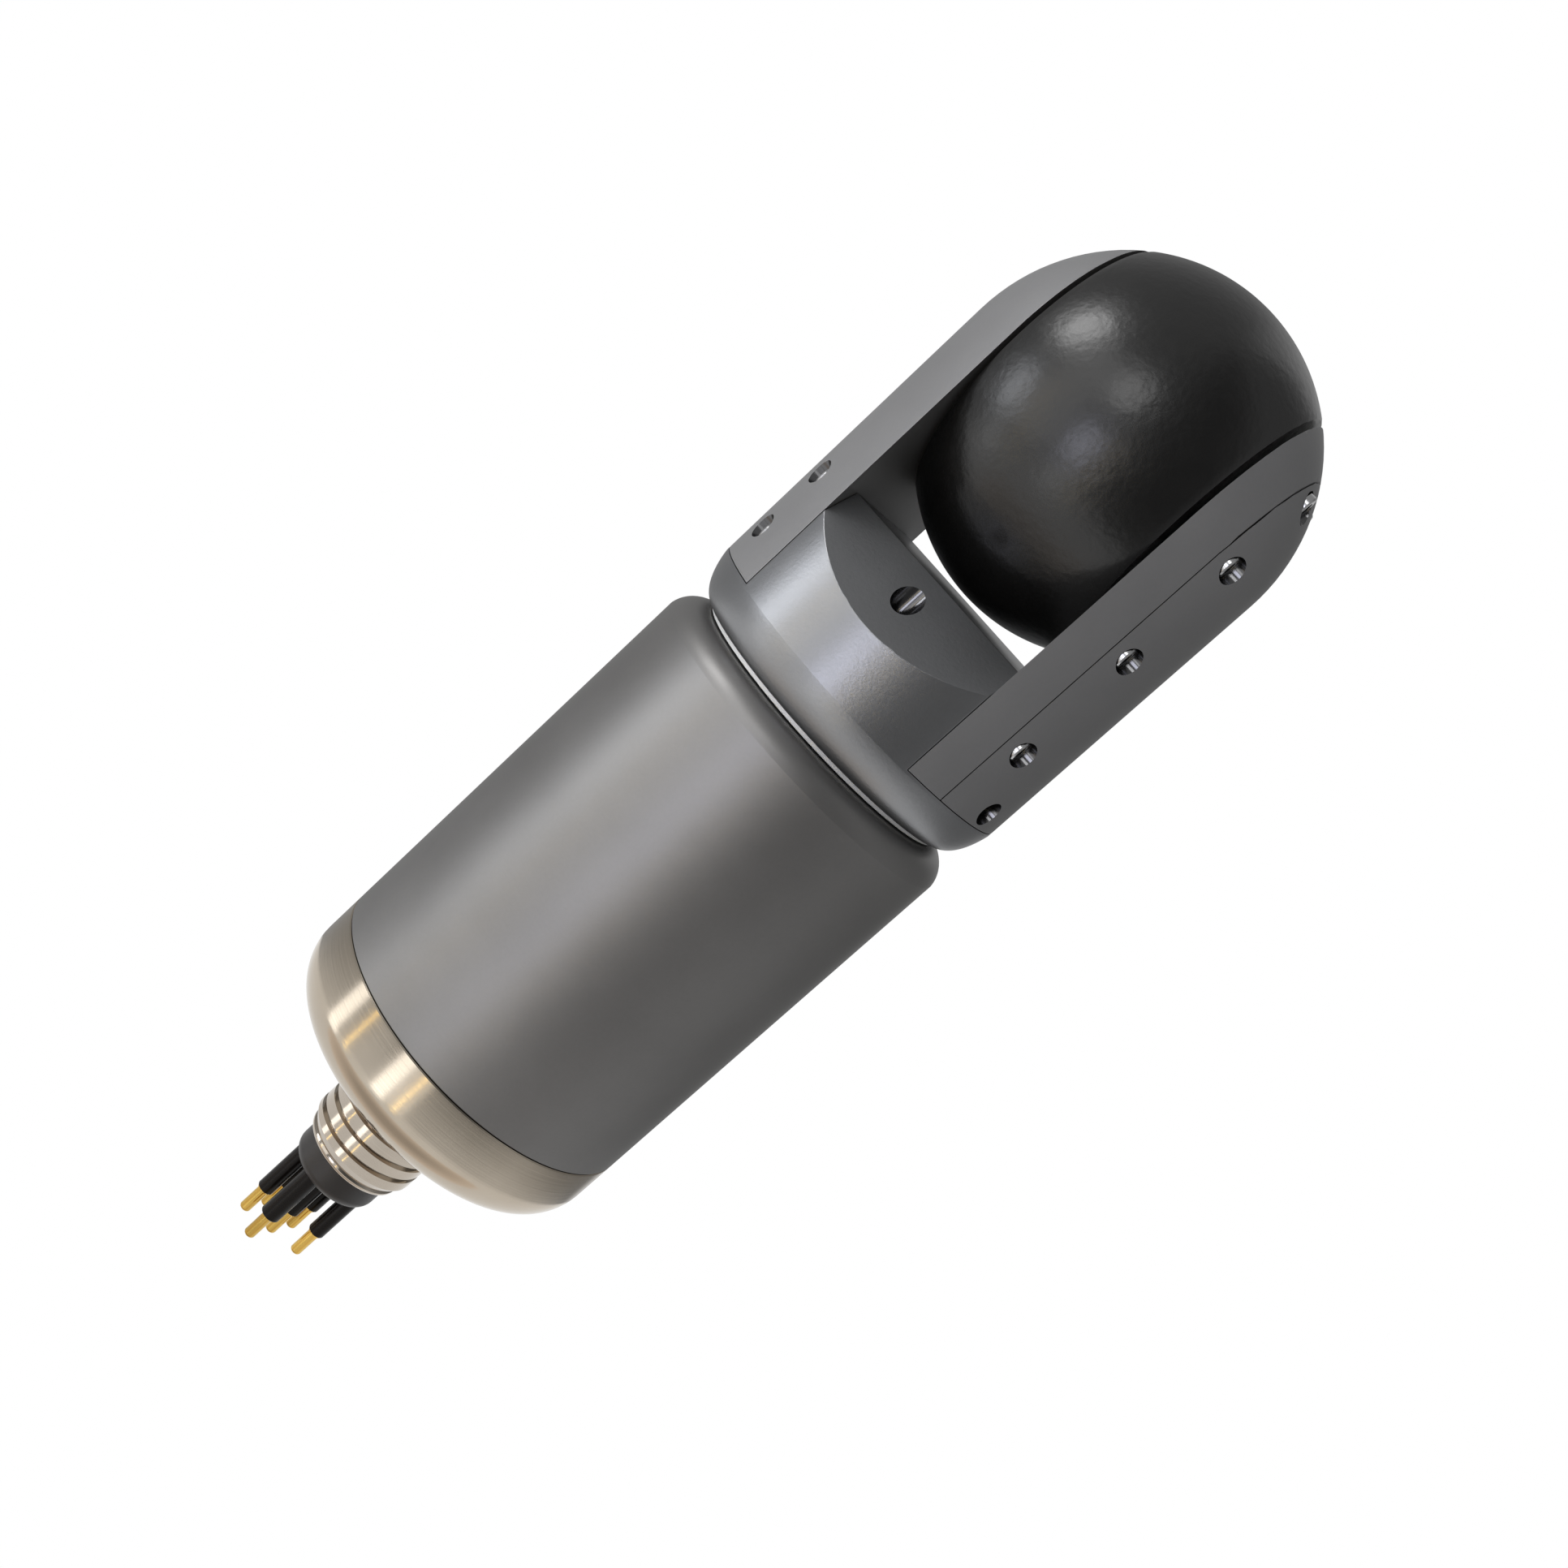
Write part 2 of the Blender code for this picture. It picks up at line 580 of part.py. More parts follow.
def pan_drive(looks, pan):
    """The pan motor, its rotor and flanged shaft, the slip ring and the circuit board."""
    top = STEP_Z - FIT
    flange_z = top - MOTOR_FLANGE
    bottom = flange_z - PAN_MOTOR_LENGTH
    core = ROTOR_RADIUS + FIT
    rotor_top = flange_z - PAN_MOTOR_WALL
    rotor_low = bottom + PAN_MOTOR_WALL
    profile = [
        (BORE_RADIUS - FIT, top),
        (BORE_RADIUS - FIT, flange_z),
        (PAN_MOTOR_RADIUS, flange_z),
        (PAN_MOTOR_RADIUS, bottom),
        (BEARING_BORE, bottom),
        (BEARING_BORE, rotor_low),
        (core, rotor_low),
        (core, rotor_top),
        (BEARING_BORE, rotor_top),
        (BEARING_BORE, top),
    ]
    place("pan_motor", turned(profile, SIDES_MEDIUM), looks["motor_steel"])
    rotor = ring_profile(BEARING_BORE, ROTOR_RADIUS, rotor_low + FIT, rotor_top - FIT)
    place("pan_rotor", turned(rotor, SIDES_SMALL), looks["motor_steel"], pan)
    slip_top = bottom - FIT
    slip_low = slip_top - SLIP_RING_LENGTH
    slip_bore = SLIP_RING_RADIUS - SLIP_RING_WALL
    stator = ring_profile(slip_bore, SLIP_RING_RADIUS, slip_low, slip_top)
    place("slip_ring_stator", turned(stator, SIDES_SMALL), looks["plastic"])
    rings = ring_profile(BEARING_BORE, slip_bore - FIT, slip_low, slip_top - FIT)
    place("slip_ring_rotor", turned(rings, SIDES_SMALL), looks["gold"], pan)
    board = ring_profile(BOARD_HOLE, BOARD_RADIUS, SPIGOT_TOP_Z + FIT, SPIGOT_TOP_Z + FIT + BOARD_THICKNESS)
    place("main_board", turned(board, SIDES_SMALL), looks["board"])
    flange_top = FLANGE_Z + FLANGE_THICKNESS
    shaft = [
        (SHAFT_BORE, flange_top),
        (FLANGE_RADIUS, flange_top),
        (FLANGE_RADIUS, FLANGE_Z),
        (SHAFT_RADIUS, FLANGE_Z),
        (SHAFT_RADIUS, slip_low - SHAFT_TAIL),
        (SHAFT_BORE, slip_low - SHAFT_TAIL),
    ]
    shaft = place("pan_shaft", turned(shaft), looks["stainless"], pan)
    thread = SCREW_RADIUS + SCREW_PLAY
    low = FLANGE_Z + FLANGE_FLOOR
    holes = [(thread, (0.0, y, low), (0.0, y, flange_top + FIT)) for y in throat_screw_places()]
    carve(shaft, "screw_holes", rods(holes), parent=pan)


def throat_screw_places():
    """The y places of the two throat screws, front and back."""
    inset = HOUSING_RADIUS - THROAT_SCREW_INSET
    return (-inset, inset)


def capsule():
    """The round column of the head with its domed top, from the foot of the arms upwards."""
    profile = [(0.0, ARM_FOOT_Z + SEAM), (HOUSING_RADIUS, ARM_FOOT_Z + SEAM)]
    profile += arc(0.0, TILT_Z, HOUSING_RADIUS, 0.0, 90.0, 2 * ARC_STEPS)
    profile[-1] = (0.0, TILT_Z + HOUSING_RADIUS)
    return turned(profile)


def head_slice(x_low, x_high):
    """The slice of the column between two planes across the tilt axis."""
    mesh = capsule()
    slice_off(mesh, (x_high, 0.0, 0.0), (1.0, 0.0, 0.0))
    slice_off(mesh, (x_low, 0.0, 0.0), (-1.0, 0.0, 0.0))
    return mesh


def head_base(looks, pan):
    """The base of the fork: a round foot, flats for the arms and a throat that slopes away front and back."""
    recess = FLANGE_Z + FLANGE_THICKNESS + FIT
    bore = SHAFT_BORE + FIT
    lower = HOUSING_RADIUS - HEAD_LOWER_RADIUS
    profile = [
        (0.0, TILT_MOTOR_Z),
        (bore, TILT_MOTOR_Z),
        (bore, recess),
        (FLANGE_RADIUS + FIT, recess),
        (FLANGE_RADIUS + FIT, HEAD_Z),
    ]
    sweep = [math.radians(90.0 * step / ARC_STEPS) for step in range(ARC_STEPS + 1)]
    profile += [
        (HEAD_LOWER_RADIUS + lower * math.sin(a), HEAD_Z + HEAD_LOWER_HEIGHT * (1.0 - math.cos(a)))
        for a in sweep
    ]
    profile += [(HOUSING_RADIUS, THROAT_Z), (0.0, THROAT_Z)]
    mesh = turned(profile)
    for side in (-1.0, 1.0):
        ridge = side * (HOUSING_RADIUS - THROAT_CHAMFER)
        slice_off(mesh, (0.0, ridge, THROAT_Z), (0.0, side, 1.0))
    base = place("head_base", mesh, looks["grey_anodised"], pan)
    far = 2 * HOUSING_RADIUS
    for name, low, high in (("left", -far, -FLAT_X), ("right", FLAT_X, far)):
        flat = box((low, -far, ARM_FOOT_Z), (high, far, THROAT_Z + far))
        carve(base, f"{name}_flat", flat, parent=pan)
    carve(base, "motor_bore", rods([tilt_motor_bore()], SIDES_SMALL), parent=pan)
    seat = HEAD_Z + THROAT_SEAT_HEIGHT
    bores = [(COUNTERBORE_RADIUS, (0.0, y, seat), (0.0, y, THROAT_Z)) for y in throat_screw_places()]
    carve(base, "throat_counterbores", rods(bores, SIDES_SMALL), parent=pan)
    thread = SCREW_RADIUS + SCREW_PLAY
    holes = [(thread, (0.0, y, recess - FIT), (0.0, y, seat + FIT)) for y in throat_screw_places()]
    carve(base, "throat_holes", rods(holes), parent=pan)
    threads = [screw_hole(-1.0, y, z, FLAT_X - SCREW_GRIP, ARM_X) for y, z in left_screw_places()]
    threads += [screw_hole(1.0, y, z, FLAT_X - SCREW_GRIP, ARM_X) for y, z in long_screw_places()]
    carve(base, "arm_screw_holes", rods(threads), parent=pan)


def tilt_motor_bore():
    """The bar that clears the tilt motor, open at the right-hand flat."""
    low = (FLAT_X - FIT - TILT_MOTOR_LENGTH - FIT, 0.0, TILT_MOTOR_Z)
    return (TILT_MOTOR_RADIUS + FIT, low, (ARM_X, 0.0, TILT_MOTOR_Z))


def screw_hole(side, y, z, start, end, radius=SCREW_RADIUS + SCREW_PLAY):
    """A bar along X that clears a screw, on the left (-1) or the right (1)."""
    return (radius, (side * start, y, z), (side * end, y, z))


def left_arm(looks, pan):
    """The one-piece left arm, with its bearing pocket and counterbored screws."""
    arm = place("left_arm", head_slice(-HOUSING_RADIUS, -ARM_X), looks["grey_anodised"], pan)
    depth = ARM_X + TILT_SEAL_WIDTH + LEFT_BEARING_WIDTH + 3 * FIT
    pocket = (TILT_BEARING_RADIUS + FIT, (-depth, 0.0, TILT_Z), (-BALL_X, 0.0, TILT_Z))
    carve(arm, "bearing_pocket", rods([pocket], SIDES_SMALL), parent=pan)
    seat = ARM_X + LEFT_SEAT
    places = left_screw_places()
    bores = [screw_hole(-1.0, y, z, seat, HOUSING_RADIUS, COUNTERBORE_RADIUS) for y, z in places]
    carve(arm, "counterbores", rods(bores, SIDES_SMALL), parent=pan)
    holes = [screw_hole(-1.0, y, z, BALL_X, seat + FIT) for y, z in places]
    carve(arm, "screw_holes", rods(holes), parent=pan)
    screws("left_arm_screw", -1.0, places, seat, FLAT_X - SCREW_GRIP + FIT, looks, pan)


def right_arm(looks, pan):
    """The inner plate of the right arm, with its bearing bore, drive hole and seal groove."""
    arm = place("right_arm", head_slice(ARM_X, COVER_X - SEAM / 2), looks["grey_anodised"], pan)
    pocket = ARM_X + TILT_SEAL_WIDTH + RIGHT_BEARING_WIDTH + 3 * FIT
    bars = [(TILT_BEARING_RADIUS + FIT, (BALL_X, 0.0, TILT_Z), (pocket, 0.0, TILT_Z))]
    bars += [(DRIVE_HOLE_RADIUS, (BALL_X, 0.0, TILT_MOTOR_Z), (COVER_X, 0.0, TILT_MOTOR_Z))]
    carve(arm, "bearing_pocket", rods(bars, SIDES_SMALL), parent=pan)
    through = rods([(TILT_BORE + FIT, (pocket - FIT, 0.0, TILT_Z), (COVER_X, 0.0, TILT_Z))], SIDES_SMALL)
    carve(arm, "shaft_hole", through, parent=pan)
    offset = seal_offset()
    outer = drive_outline(offset + COVER_SEAL_WIDTH + FIT)
    inner = drive_outline(offset - FIT)
    floor = COVER_X - SEAM / 2 - COVER_SEAL_DEPTH - FIT
    carve(arm, "seal_groove", band(outer, inner, floor, COVER_X + SEAM), parent=pan)
    places = cover_screw_places() + long_screw_places()
    holes = [screw_hole(1.0, y, z, BALL_X, COVER_X) for y, z in places]
    carve(arm, "screw_holes", rods(holes), parent=pan)
    seal = band(
        drive_outline(offset + COVER_SEAL_WIDTH), drive_outline(offset), floor + FIT, COVER_X - SEAM / 2
    )
    place("cover_seal", seal, looks["rubber"], pan)


def cavity_offset():
    """How far the belt cavity stands outside the pulley grooves."""
    return FIT + BELT_THICKNESS + CAVITY_MARGIN


def seal_offset():
    """How far the cover seal stands outside the pulley grooves."""
    return cavity_offset() + COVER_SEAL_OFFSET


def drive_cover(looks, pan):
    """The outer cover of the right arm, hollow for the belt and held by a row of screws on each side."""
    cover = place("drive_cover", head_slice(COVER_X + SEAM / 2, HOUSING_RADIUS), looks["grey_anodised"], pan)
    cavity = prism(drive_outline(cavity_offset()), COVER_X - SEAM, COVER_X + CAVITY_DEPTH)
    carve(cover, "belt_cavity", cavity, parent=pan)
    seat = COVER_X + COVER_SEAT
    short = cover_screw_places()
    long = long_screw_places()
    bores = [screw_hole(1.0, y, z, seat, HOUSING_RADIUS, COUNTERBORE_RADIUS) for y, z in short + long]
    carve(cover, "counterbores", rods(bores, SIDES_SMALL), parent=pan)
    holes = [screw_hole(1.0, y, z, COVER_X - SEAM, seat + FIT) for y, z in short + long]
    carve(cover, "screw_holes", rods(holes), parent=pan)
    screws("cover_screw", 1.0, short, seat, ARM_X + FIT, looks, pan)
    screws("cover_screw_long", 1.0, long, seat, FLAT_X - SCREW_GRIP + FIT, looks, pan)


def screw_mesh(length):
    """A socket-head screw about Z: the seat of its head is at zero and its shank points down."""
    top = SCREW_HEAD_HEIGHT
    profile = [
        (0.0, top - SOCKET_DEPTH),
        (SOCKET_RADIUS, top - SOCKET_DEPTH),
        (SOCKET_RADIUS, top),
        (SCREW_HEAD_RADIUS, top),
        (SCREW_HEAD_RADIUS, 0.0),
        (SCREW_RADIUS, 0.0),
        (SCREW_RADIUS, -length),
        (0.0, -length),
    ]
    return turned(profile, SIDES_SCREW)


def screws(name, side, places, seat, tip, looks, pan):
    """A set of like screws along X, with their heads outwards on the given side."""
    for number, (y, z) in enumerate(places, 1):
        made = place(f"{name}_{number}", along_x(screw_mesh(seat + FIT - tip)), looks["steel"], pan)
        if side < 0:
            made.rotation_euler = (0.0, 0.0, math.pi)
        made.location = (side * (seat + FIT), y, z)


def throat_screws(looks, pan):
    """The two upright screws that hold the head down on the shaft's flange."""
    seat = HEAD_Z + THROAT_SEAT_HEIGHT + FIT
    length = seat - (FLANGE_Z + FLANGE_FLOOR + FIT)
    for name, y in zip(("front", "back"), throat_screw_places()):
        made = place(f"throat_screw_{name}", screw_mesh(length), looks["steel"], pan)
        made.location = (0.0, y, seat)


def tilt_drive(looks, pan):
    """The tilt motor in the base, the belt in the right arm, and the bearings and seals of the ball."""
    front = FLAT_X - FIT
    profile = [
        (0.0, front - MOTOR_SHAFT_HOLE),
        (MOTOR_SHAFT_RADIUS + FIT, front - MOTOR_SHAFT_HOLE),
        (MOTOR_SHAFT_RADIUS + FIT, front),
        (TILT_MOTOR_RADIUS, front),
        (TILT_MOTOR_RADIUS, front - TILT_MOTOR_LENGTH),
        (0.0, front - TILT_MOTOR_LENGTH),
    ]
    motor = place("tilt_motor", along_x(turned(profile, SIDES_SMALL)), looks["motor_steel"], pan)
    motor.location = (0.0, 0.0, TILT_MOTOR_Z)
    low = PULLEY_X + PULLEY_FLANGE + FIT
    high = PULLEY_X + PULLEY_WIDTH - PULLEY_FLANGE - FIT
    belt = band(drive_outline(FIT + BELT_THICKNESS), drive_outline(FIT), low, high)
    place("drive_belt", belt, looks["rubber"], pan)
    for name, side, width in (("left", -1.0, LEFT_BEARING_WIDTH), ("right", 1.0, RIGHT_BEARING_WIDTH)):
        rings = (
            (f"tilt_seal_{name}", ARM_X + FIT, TILT_SEAL_WIDTH, "rubber"),
            (f"tilt_bearing_{name}", ARM_X + 2 * FIT + TILT_SEAL_WIDTH, width, "steel"),
        )
        for ring_name, start, thickness, look in rings:
            near, far = sorted((side * start, side * (start + thickness)))
            ring = turned(ring_profile(TILT_BORE, TILT_BEARING_RADIUS, near, far), SIDES_SMALL)
            made = place(ring_name, along_x(ring), looks[look], pan)
            made.location = (0.0, 0.0, TILT_Z)


def pulley_profile(groove, bore):
    """A flanged pulley about its own axis, between the two faces of its rim."""
    rim = groove + PULLEY_FLANGE_RISE
    low = PULLEY_X
    high = PULLEY_X + PULLEY_WIDTH
    return [
        (bore, high),
        (rim, high),
        (rim, high - PULLEY_FLANGE),
        (groove, high - PULLEY_FLANGE),
        (groove, low + PULLEY_FLANGE),
        (rim, low + PULLEY_FLANGE),
        (rim, low),
        (bore, low),
    ]


def motor_pulley(looks, axis):
    """The small pulley, in one piece with the shaft that runs into the tilt motor."""
    tail = FLAT_X - FIT - MOTOR_SHAFT_GRIP
    profile = [(0.0, PULLEY_X + PULLEY_WIDTH)] + pulley_profile(MOTOR_PULLEY_RADIUS, MOTOR_SHAFT_RADIUS)[1:]
    profile += [(MOTOR_SHAFT_RADIUS, tail), (0.0, tail)]
    place("motor_pulley", along_x(turned(profile, SIDES_SMALL)), looks["plastic"], axis)


def transducer_ball(looks, tilt):
    """The ball between the arms, turned about the tilt axis, with its shafts, element and pulley."""
    pocket = ELEMENT_RADIUS + FIT
    shoulder = math.degrees(math.asin(BALL_X / HOUSING_RADIUS))
    left_floor = -BALL_X + TILT_BORE_DEPTH
    profile = [(0.0, BALL_X - BALL_POCKET_DEPTH), (pocket, BALL_X - BALL_POCKET_DEPTH), (pocket, BALL_X)]
    profile += arc(0.0, 0.0, HOUSING_RADIUS, shoulder, -shoulder, 2 * ARC_STEPS)
    profile += [(TILT_BORE, -BALL_X), (TILT_BORE, left_floor), (0.0, left_floor)]
    place("transducer_ball", along_x(turned(profile)), looks["black_moulding"], tilt)
    end = ARM_X + TILT_SEAL_WIDTH + LEFT_BEARING_WIDTH + 2 * FIT
    root = left_floor - FIT
    shaft = [(0.0, root), (TILT_SHAFT_RADIUS, root), (TILT_SHAFT_RADIUS, -end), (0.0, -end)]
    place("tilt_shaft_left", along_x(turned(shaft, SIDES_SMALL)), looks["stainless"], tilt)
    reach = PULLEY_X + PULLEY_WIDTH
    shaft = [
        (0.0, reach),
        (TILT_SHAFT_RADIUS, reach),
        (TILT_SHAFT_RADIUS, BALL_X),
        (ELEMENT_RADIUS, BALL_X),
        (ELEMENT_RADIUS, BALL_X - PLUG_THICKNESS),
        (0.0, BALL_X - PLUG_THICKNESS),
    ]
    place("tilt_shaft_right", along_x(turned(shaft, SIDES_SMALL)), looks["stainless"], tilt)
    element_top = BALL_X - PLUG_THICKNESS - FIT
    element = [
        (0.0, element_top),
        (ELEMENT_RADIUS, element_top),
        (ELEMENT_RADIUS, element_top - ELEMENT_LENGTH),
        (0.0, element_top - ELEMENT_LENGTH),
    ]
    place("transducer_element", along_x(turned(element, SIDES_SMALL)), looks["ceramic"], tilt)
    pulley = turned(pulley_profile(PULLEY_RADIUS, TILT_BORE), SIDES_SMALL)
    place("tilt_pulley", along_x(pulley), looks["plastic"], tilt)


def main():
    """Build the whole sonar head."""
    for item in list(bpy.data.objects):
        bpy.data.objects.remove(item, do_unlink=True)
    looks = make_finishes()
    pan = axis_empty("pan_axis", (0.0, 0.0, 0.0))
    tilt = axis_empty("tilt_axis", (0.0, 0.0, TILT_Z), pan)
    motor = axis_empty("motor_pulley_axis", (0.0, 0.0, TILT_MOTOR_Z), pan)
    end_cap(looks)
    main_housing(looks)
    connector(looks)
    pan_drive(looks, pan)
    head_base(looks, pan)
    left_arm(looks, pan)
    right_arm(looks, pan)
    drive_cover(looks, pan)
    throat_screws(looks, pan)
    tilt_drive(looks, pan)
    motor_pulley(looks, motor)
    transducer_ball(looks, tilt)


main()
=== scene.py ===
# %% [markdown]
# # A pan-and-tilt scanning sonar
#
# This lesson dresses an underwater sonar head: a grey anodised cylinder with a steel end cap and a
# wet-mate connector at one end, and a fork with a black transducer ball at the other. The construction
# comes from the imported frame. Here each visible piece is modelled again with smooth curves, broken edges
# and real screw heads, and every surface gets the finish of its real material.

# %% Load the frame and measure it
import json
import math

import bpy
from mathutils import Matrix, Vector


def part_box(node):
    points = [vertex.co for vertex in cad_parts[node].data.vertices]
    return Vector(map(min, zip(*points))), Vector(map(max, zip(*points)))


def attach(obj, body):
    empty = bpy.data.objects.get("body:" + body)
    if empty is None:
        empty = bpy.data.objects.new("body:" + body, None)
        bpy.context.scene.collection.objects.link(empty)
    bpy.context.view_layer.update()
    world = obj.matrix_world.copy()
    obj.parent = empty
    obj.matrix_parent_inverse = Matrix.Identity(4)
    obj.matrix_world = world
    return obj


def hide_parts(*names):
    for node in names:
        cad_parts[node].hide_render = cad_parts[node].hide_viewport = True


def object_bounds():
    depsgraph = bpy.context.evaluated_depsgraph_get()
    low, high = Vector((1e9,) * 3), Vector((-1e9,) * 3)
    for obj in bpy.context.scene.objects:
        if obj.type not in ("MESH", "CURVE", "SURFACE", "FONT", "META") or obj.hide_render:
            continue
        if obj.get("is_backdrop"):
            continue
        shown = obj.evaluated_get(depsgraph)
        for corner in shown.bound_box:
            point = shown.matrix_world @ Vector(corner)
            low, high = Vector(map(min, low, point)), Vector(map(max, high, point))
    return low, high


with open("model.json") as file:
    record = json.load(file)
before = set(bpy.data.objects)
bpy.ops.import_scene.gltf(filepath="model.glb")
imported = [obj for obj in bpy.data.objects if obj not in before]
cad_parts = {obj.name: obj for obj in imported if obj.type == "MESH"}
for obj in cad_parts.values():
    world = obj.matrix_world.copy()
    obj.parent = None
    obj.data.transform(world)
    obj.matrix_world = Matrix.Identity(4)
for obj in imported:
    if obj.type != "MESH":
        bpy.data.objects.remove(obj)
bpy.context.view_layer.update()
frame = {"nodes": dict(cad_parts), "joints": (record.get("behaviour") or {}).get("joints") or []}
MM = 0.001

housing_low, housing_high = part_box("main_housing")
cap_low, cap_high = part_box("end_cap")
base_low, base_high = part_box("head_base")
left_low, left_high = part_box("left_arm")
right_low, right_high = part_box("right_arm")
cover_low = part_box("drive_cover")[0]
ball_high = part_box("transducer_ball")[1]
shell_low, shell_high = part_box("connector_shell")
insert_low, insert_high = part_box("connector_insert")
shaft_low, shaft_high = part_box("pan_shaft")

RADIUS = housing_high.x
joints = {joint["name"]: joint for joint in frame["joints"]}
TILT_Z = joints["tilt"]["pos_m"][2]
MOTOR_Z = joints["motor_spin"]["pos_m"][2]
print("housing radius", round(RADIUS / MM, 2), "mm, tilt axis at", round(TILT_Z / MM, 2), "mm")

# %% [markdown]
# ## The camera
#
# The photograph looks at the upright sonar from a little above and from its right, and was then turned
# on its side, so the camera is placed by azimuth, pitch and a small yaw, and rolled last of all. The
# places come from fitting the housing's edges, the dome and the ball in the picture.

# %% Camera
CAMERA_AZIMUTH = math.radians(11.8)
CAMERA_DISTANCE = 285.5 * MM
CAMERA_HEIGHT = 83.4 * MM
CAMERA_PITCH = math.radians(10.358)
CAMERA_YAW = 0.0105
CAMERA_ROLL = math.radians(47.77)
SENSOR = 36.0
LENS = 39.01


def camera_axes():
    """The camera's right, up and forward directions, with its roll."""
    forward = Vector((-math.sin(CAMERA_AZIMUTH), math.cos(CAMERA_AZIMUTH), 0.0))
    right = Vector((math.cos(CAMERA_AZIMUTH), math.sin(CAMERA_AZIMUTH), 0.0))
    upright = Vector((0.0, 0.0, 1.0))
    turned_forward = forward * math.cos(CAMERA_YAW) + right * math.sin(CAMERA_YAW)
    turned_right = right * math.cos(CAMERA_YAW) - forward * math.sin(CAMERA_YAW)
    aim = turned_forward * math.cos(CAMERA_PITCH) - upright * math.sin(CAMERA_PITCH)
    head = upright * math.cos(CAMERA_PITCH) + turned_forward * math.sin(CAMERA_PITCH)
    side = turned_right * math.cos(CAMERA_ROLL) + head * math.sin(CAMERA_ROLL)
    top = head * math.cos(CAMERA_ROLL) - turned_right * math.sin(CAMERA_ROLL)
    return side, top, aim


side, top, aim = camera_axes()
camera_data = bpy.data.cameras.new("camera")
camera_data.lens = LENS
camera_data.sensor_width = SENSOR
camera_data.clip_start = 0.01
camera = bpy.data.objects.new("camera", camera_data)
bpy.context.scene.collection.objects.link(camera)
place = Vector((math.sin(CAMERA_AZIMUTH), -math.cos(CAMERA_AZIMUTH), 0.0)) * CAMERA_DISTANCE
place.z = CAMERA_HEIGHT
turn = Matrix((side, top, -aim)).transposed().to_4x4()
camera.matrix_world = Matrix.Translation(place) @ turn
bpy.context.scene.camera = camera
bpy.context.scene.view_settings.view_transform = "Standard"
print("camera at", [round(value, 4) for value in place])

# %% [markdown]
# ## Modelling helpers
#
# Nearly every piece of this instrument was turned on a lathe, so the main helper does what a turner
# does: it draws a profile point by point with the extrude operator and spins it about its axis. Flats
# and holes are then cut, as a mill cuts them, with bisect and with Boolean tools.

# %% Helpers for turning
STEPS = 160
FINE = 0.000001
SMOOTH_ANGLE = math.radians(32.0)


def select_only(piece):
    """Make one object the only selected one, and active."""
    bpy.ops.object.select_all(action="DESELECT")
    piece.select_set(True)
    bpy.context.view_layer.objects.active = piece


def enter(piece):
    """Open one object in edit mode with everything selected."""
    select_only(piece)
    bpy.ops.object.mode_set(mode="EDIT")
    bpy.ops.mesh.select_all(action="SELECT")


def leave():
    """Go back to object mode."""
    bpy.ops.object.mode_set(mode="OBJECT")


def arc(centre_r, centre_z, radius, start, end, steps=12):
    """Points of a round stretch of a profile, from one angle to another in degrees."""
    angles = [math.radians(start + (end - start) * step / steps) for step in range(steps + 1)]
    return [(centre_r + radius * math.cos(a), centre_z + radius * math.sin(a)) for a in angles]


def draw(name, points, closed=False):
    """Draw a chain of vertices in the XZ plane, extruding from point to point."""
    bpy.ops.object.select_all(action="DESELECT")
    bpy.ops.mesh.primitive_plane_add(size=MM)
    piece = bpy.context.object
    piece.name = name
    piece.data.name = name
    bpy.ops.object.mode_set(mode="EDIT")
    bpy.ops.mesh.select_all(action="SELECT")
    bpy.ops.mesh.merge(type="CENTER")
    radius, height = points[0]
    bpy.ops.transform.translate(value=(radius, 0.0, height))
    for (r_from, z_from), (r_to, z_to) in zip(points, points[1:]):
        step = {"value": (r_to - r_from, 0.0, z_to - z_from)}
        bpy.ops.mesh.extrude_vertices_move(TRANSFORM_OT_translate=step)
    if closed:
        bpy.ops.mesh.select_all(action="SELECT")
        bpy.ops.mesh.edge_face_add()
        bpy.ops.mesh.delete(type="ONLY_FACE")
    leave()
    return piece


def tidy(piece):
    """Merge doubled points and turn every face outwards."""
    enter(piece)
    bpy.ops.mesh.remove_doubles(threshold=FINE)
    bpy.ops.mesh.normals_make_consistent(inside=False)
    leave()
    return piece


def turned(name, points, steps=STEPS):
    """Spin a profile about Z. A profile that keeps off the axis is closed into a ring first."""
    off_axis = min(radius for radius, height in points) > FINE
    piece = draw(name, points, closed=off_axis)
    enter(piece)
    bpy.ops.mesh.spin(steps=steps, angle=math.tau, center=(0.0, 0.0, 0.0), axis=(0.0, 0.0, 1.0))
    leave()
    return tidy(piece)


def settle(piece, place):
    """Move a piece to its place, and keep its place and turn in its mesh."""
    piece.location = place
    select_only(piece)
    bpy.ops.object.transform_apply(location=True, rotation=True, scale=True)
    return piece


def lay_along_x(piece, place, flip=False):
    """Turn a piece spun about Z onto X and settle it at its place."""
    piece.rotation_euler = (0.0, -math.pi / 2 if flip else math.pi / 2, 0.0)
    return settle(piece, place)


# %% Helpers for cutting and finishing
def cut(piece, tool, operation="DIFFERENCE"):
    """Apply a Boolean tool and put it away. A tool's own material goes to the walls it cuts."""
    step = piece.modifiers.new("cut", "BOOLEAN")
    step.operation = operation
    step.solver = "EXACT"
    step.material_mode = "TRANSFER"
    step.object = tool
    select_only(piece)
    bpy.ops.object.modifier_apply(modifier=step.name)
    bpy.data.objects.remove(tool, do_unlink=True)
    return piece


def join(pieces):
    """Join several separate tools into one."""
    bpy.ops.object.select_all(action="DESELECT")
    for piece in pieces:
        piece.select_set(True)
    bpy.context.view_layer.objects.active = pieces[0]
    bpy.ops.object.join()
    return pieces[0]


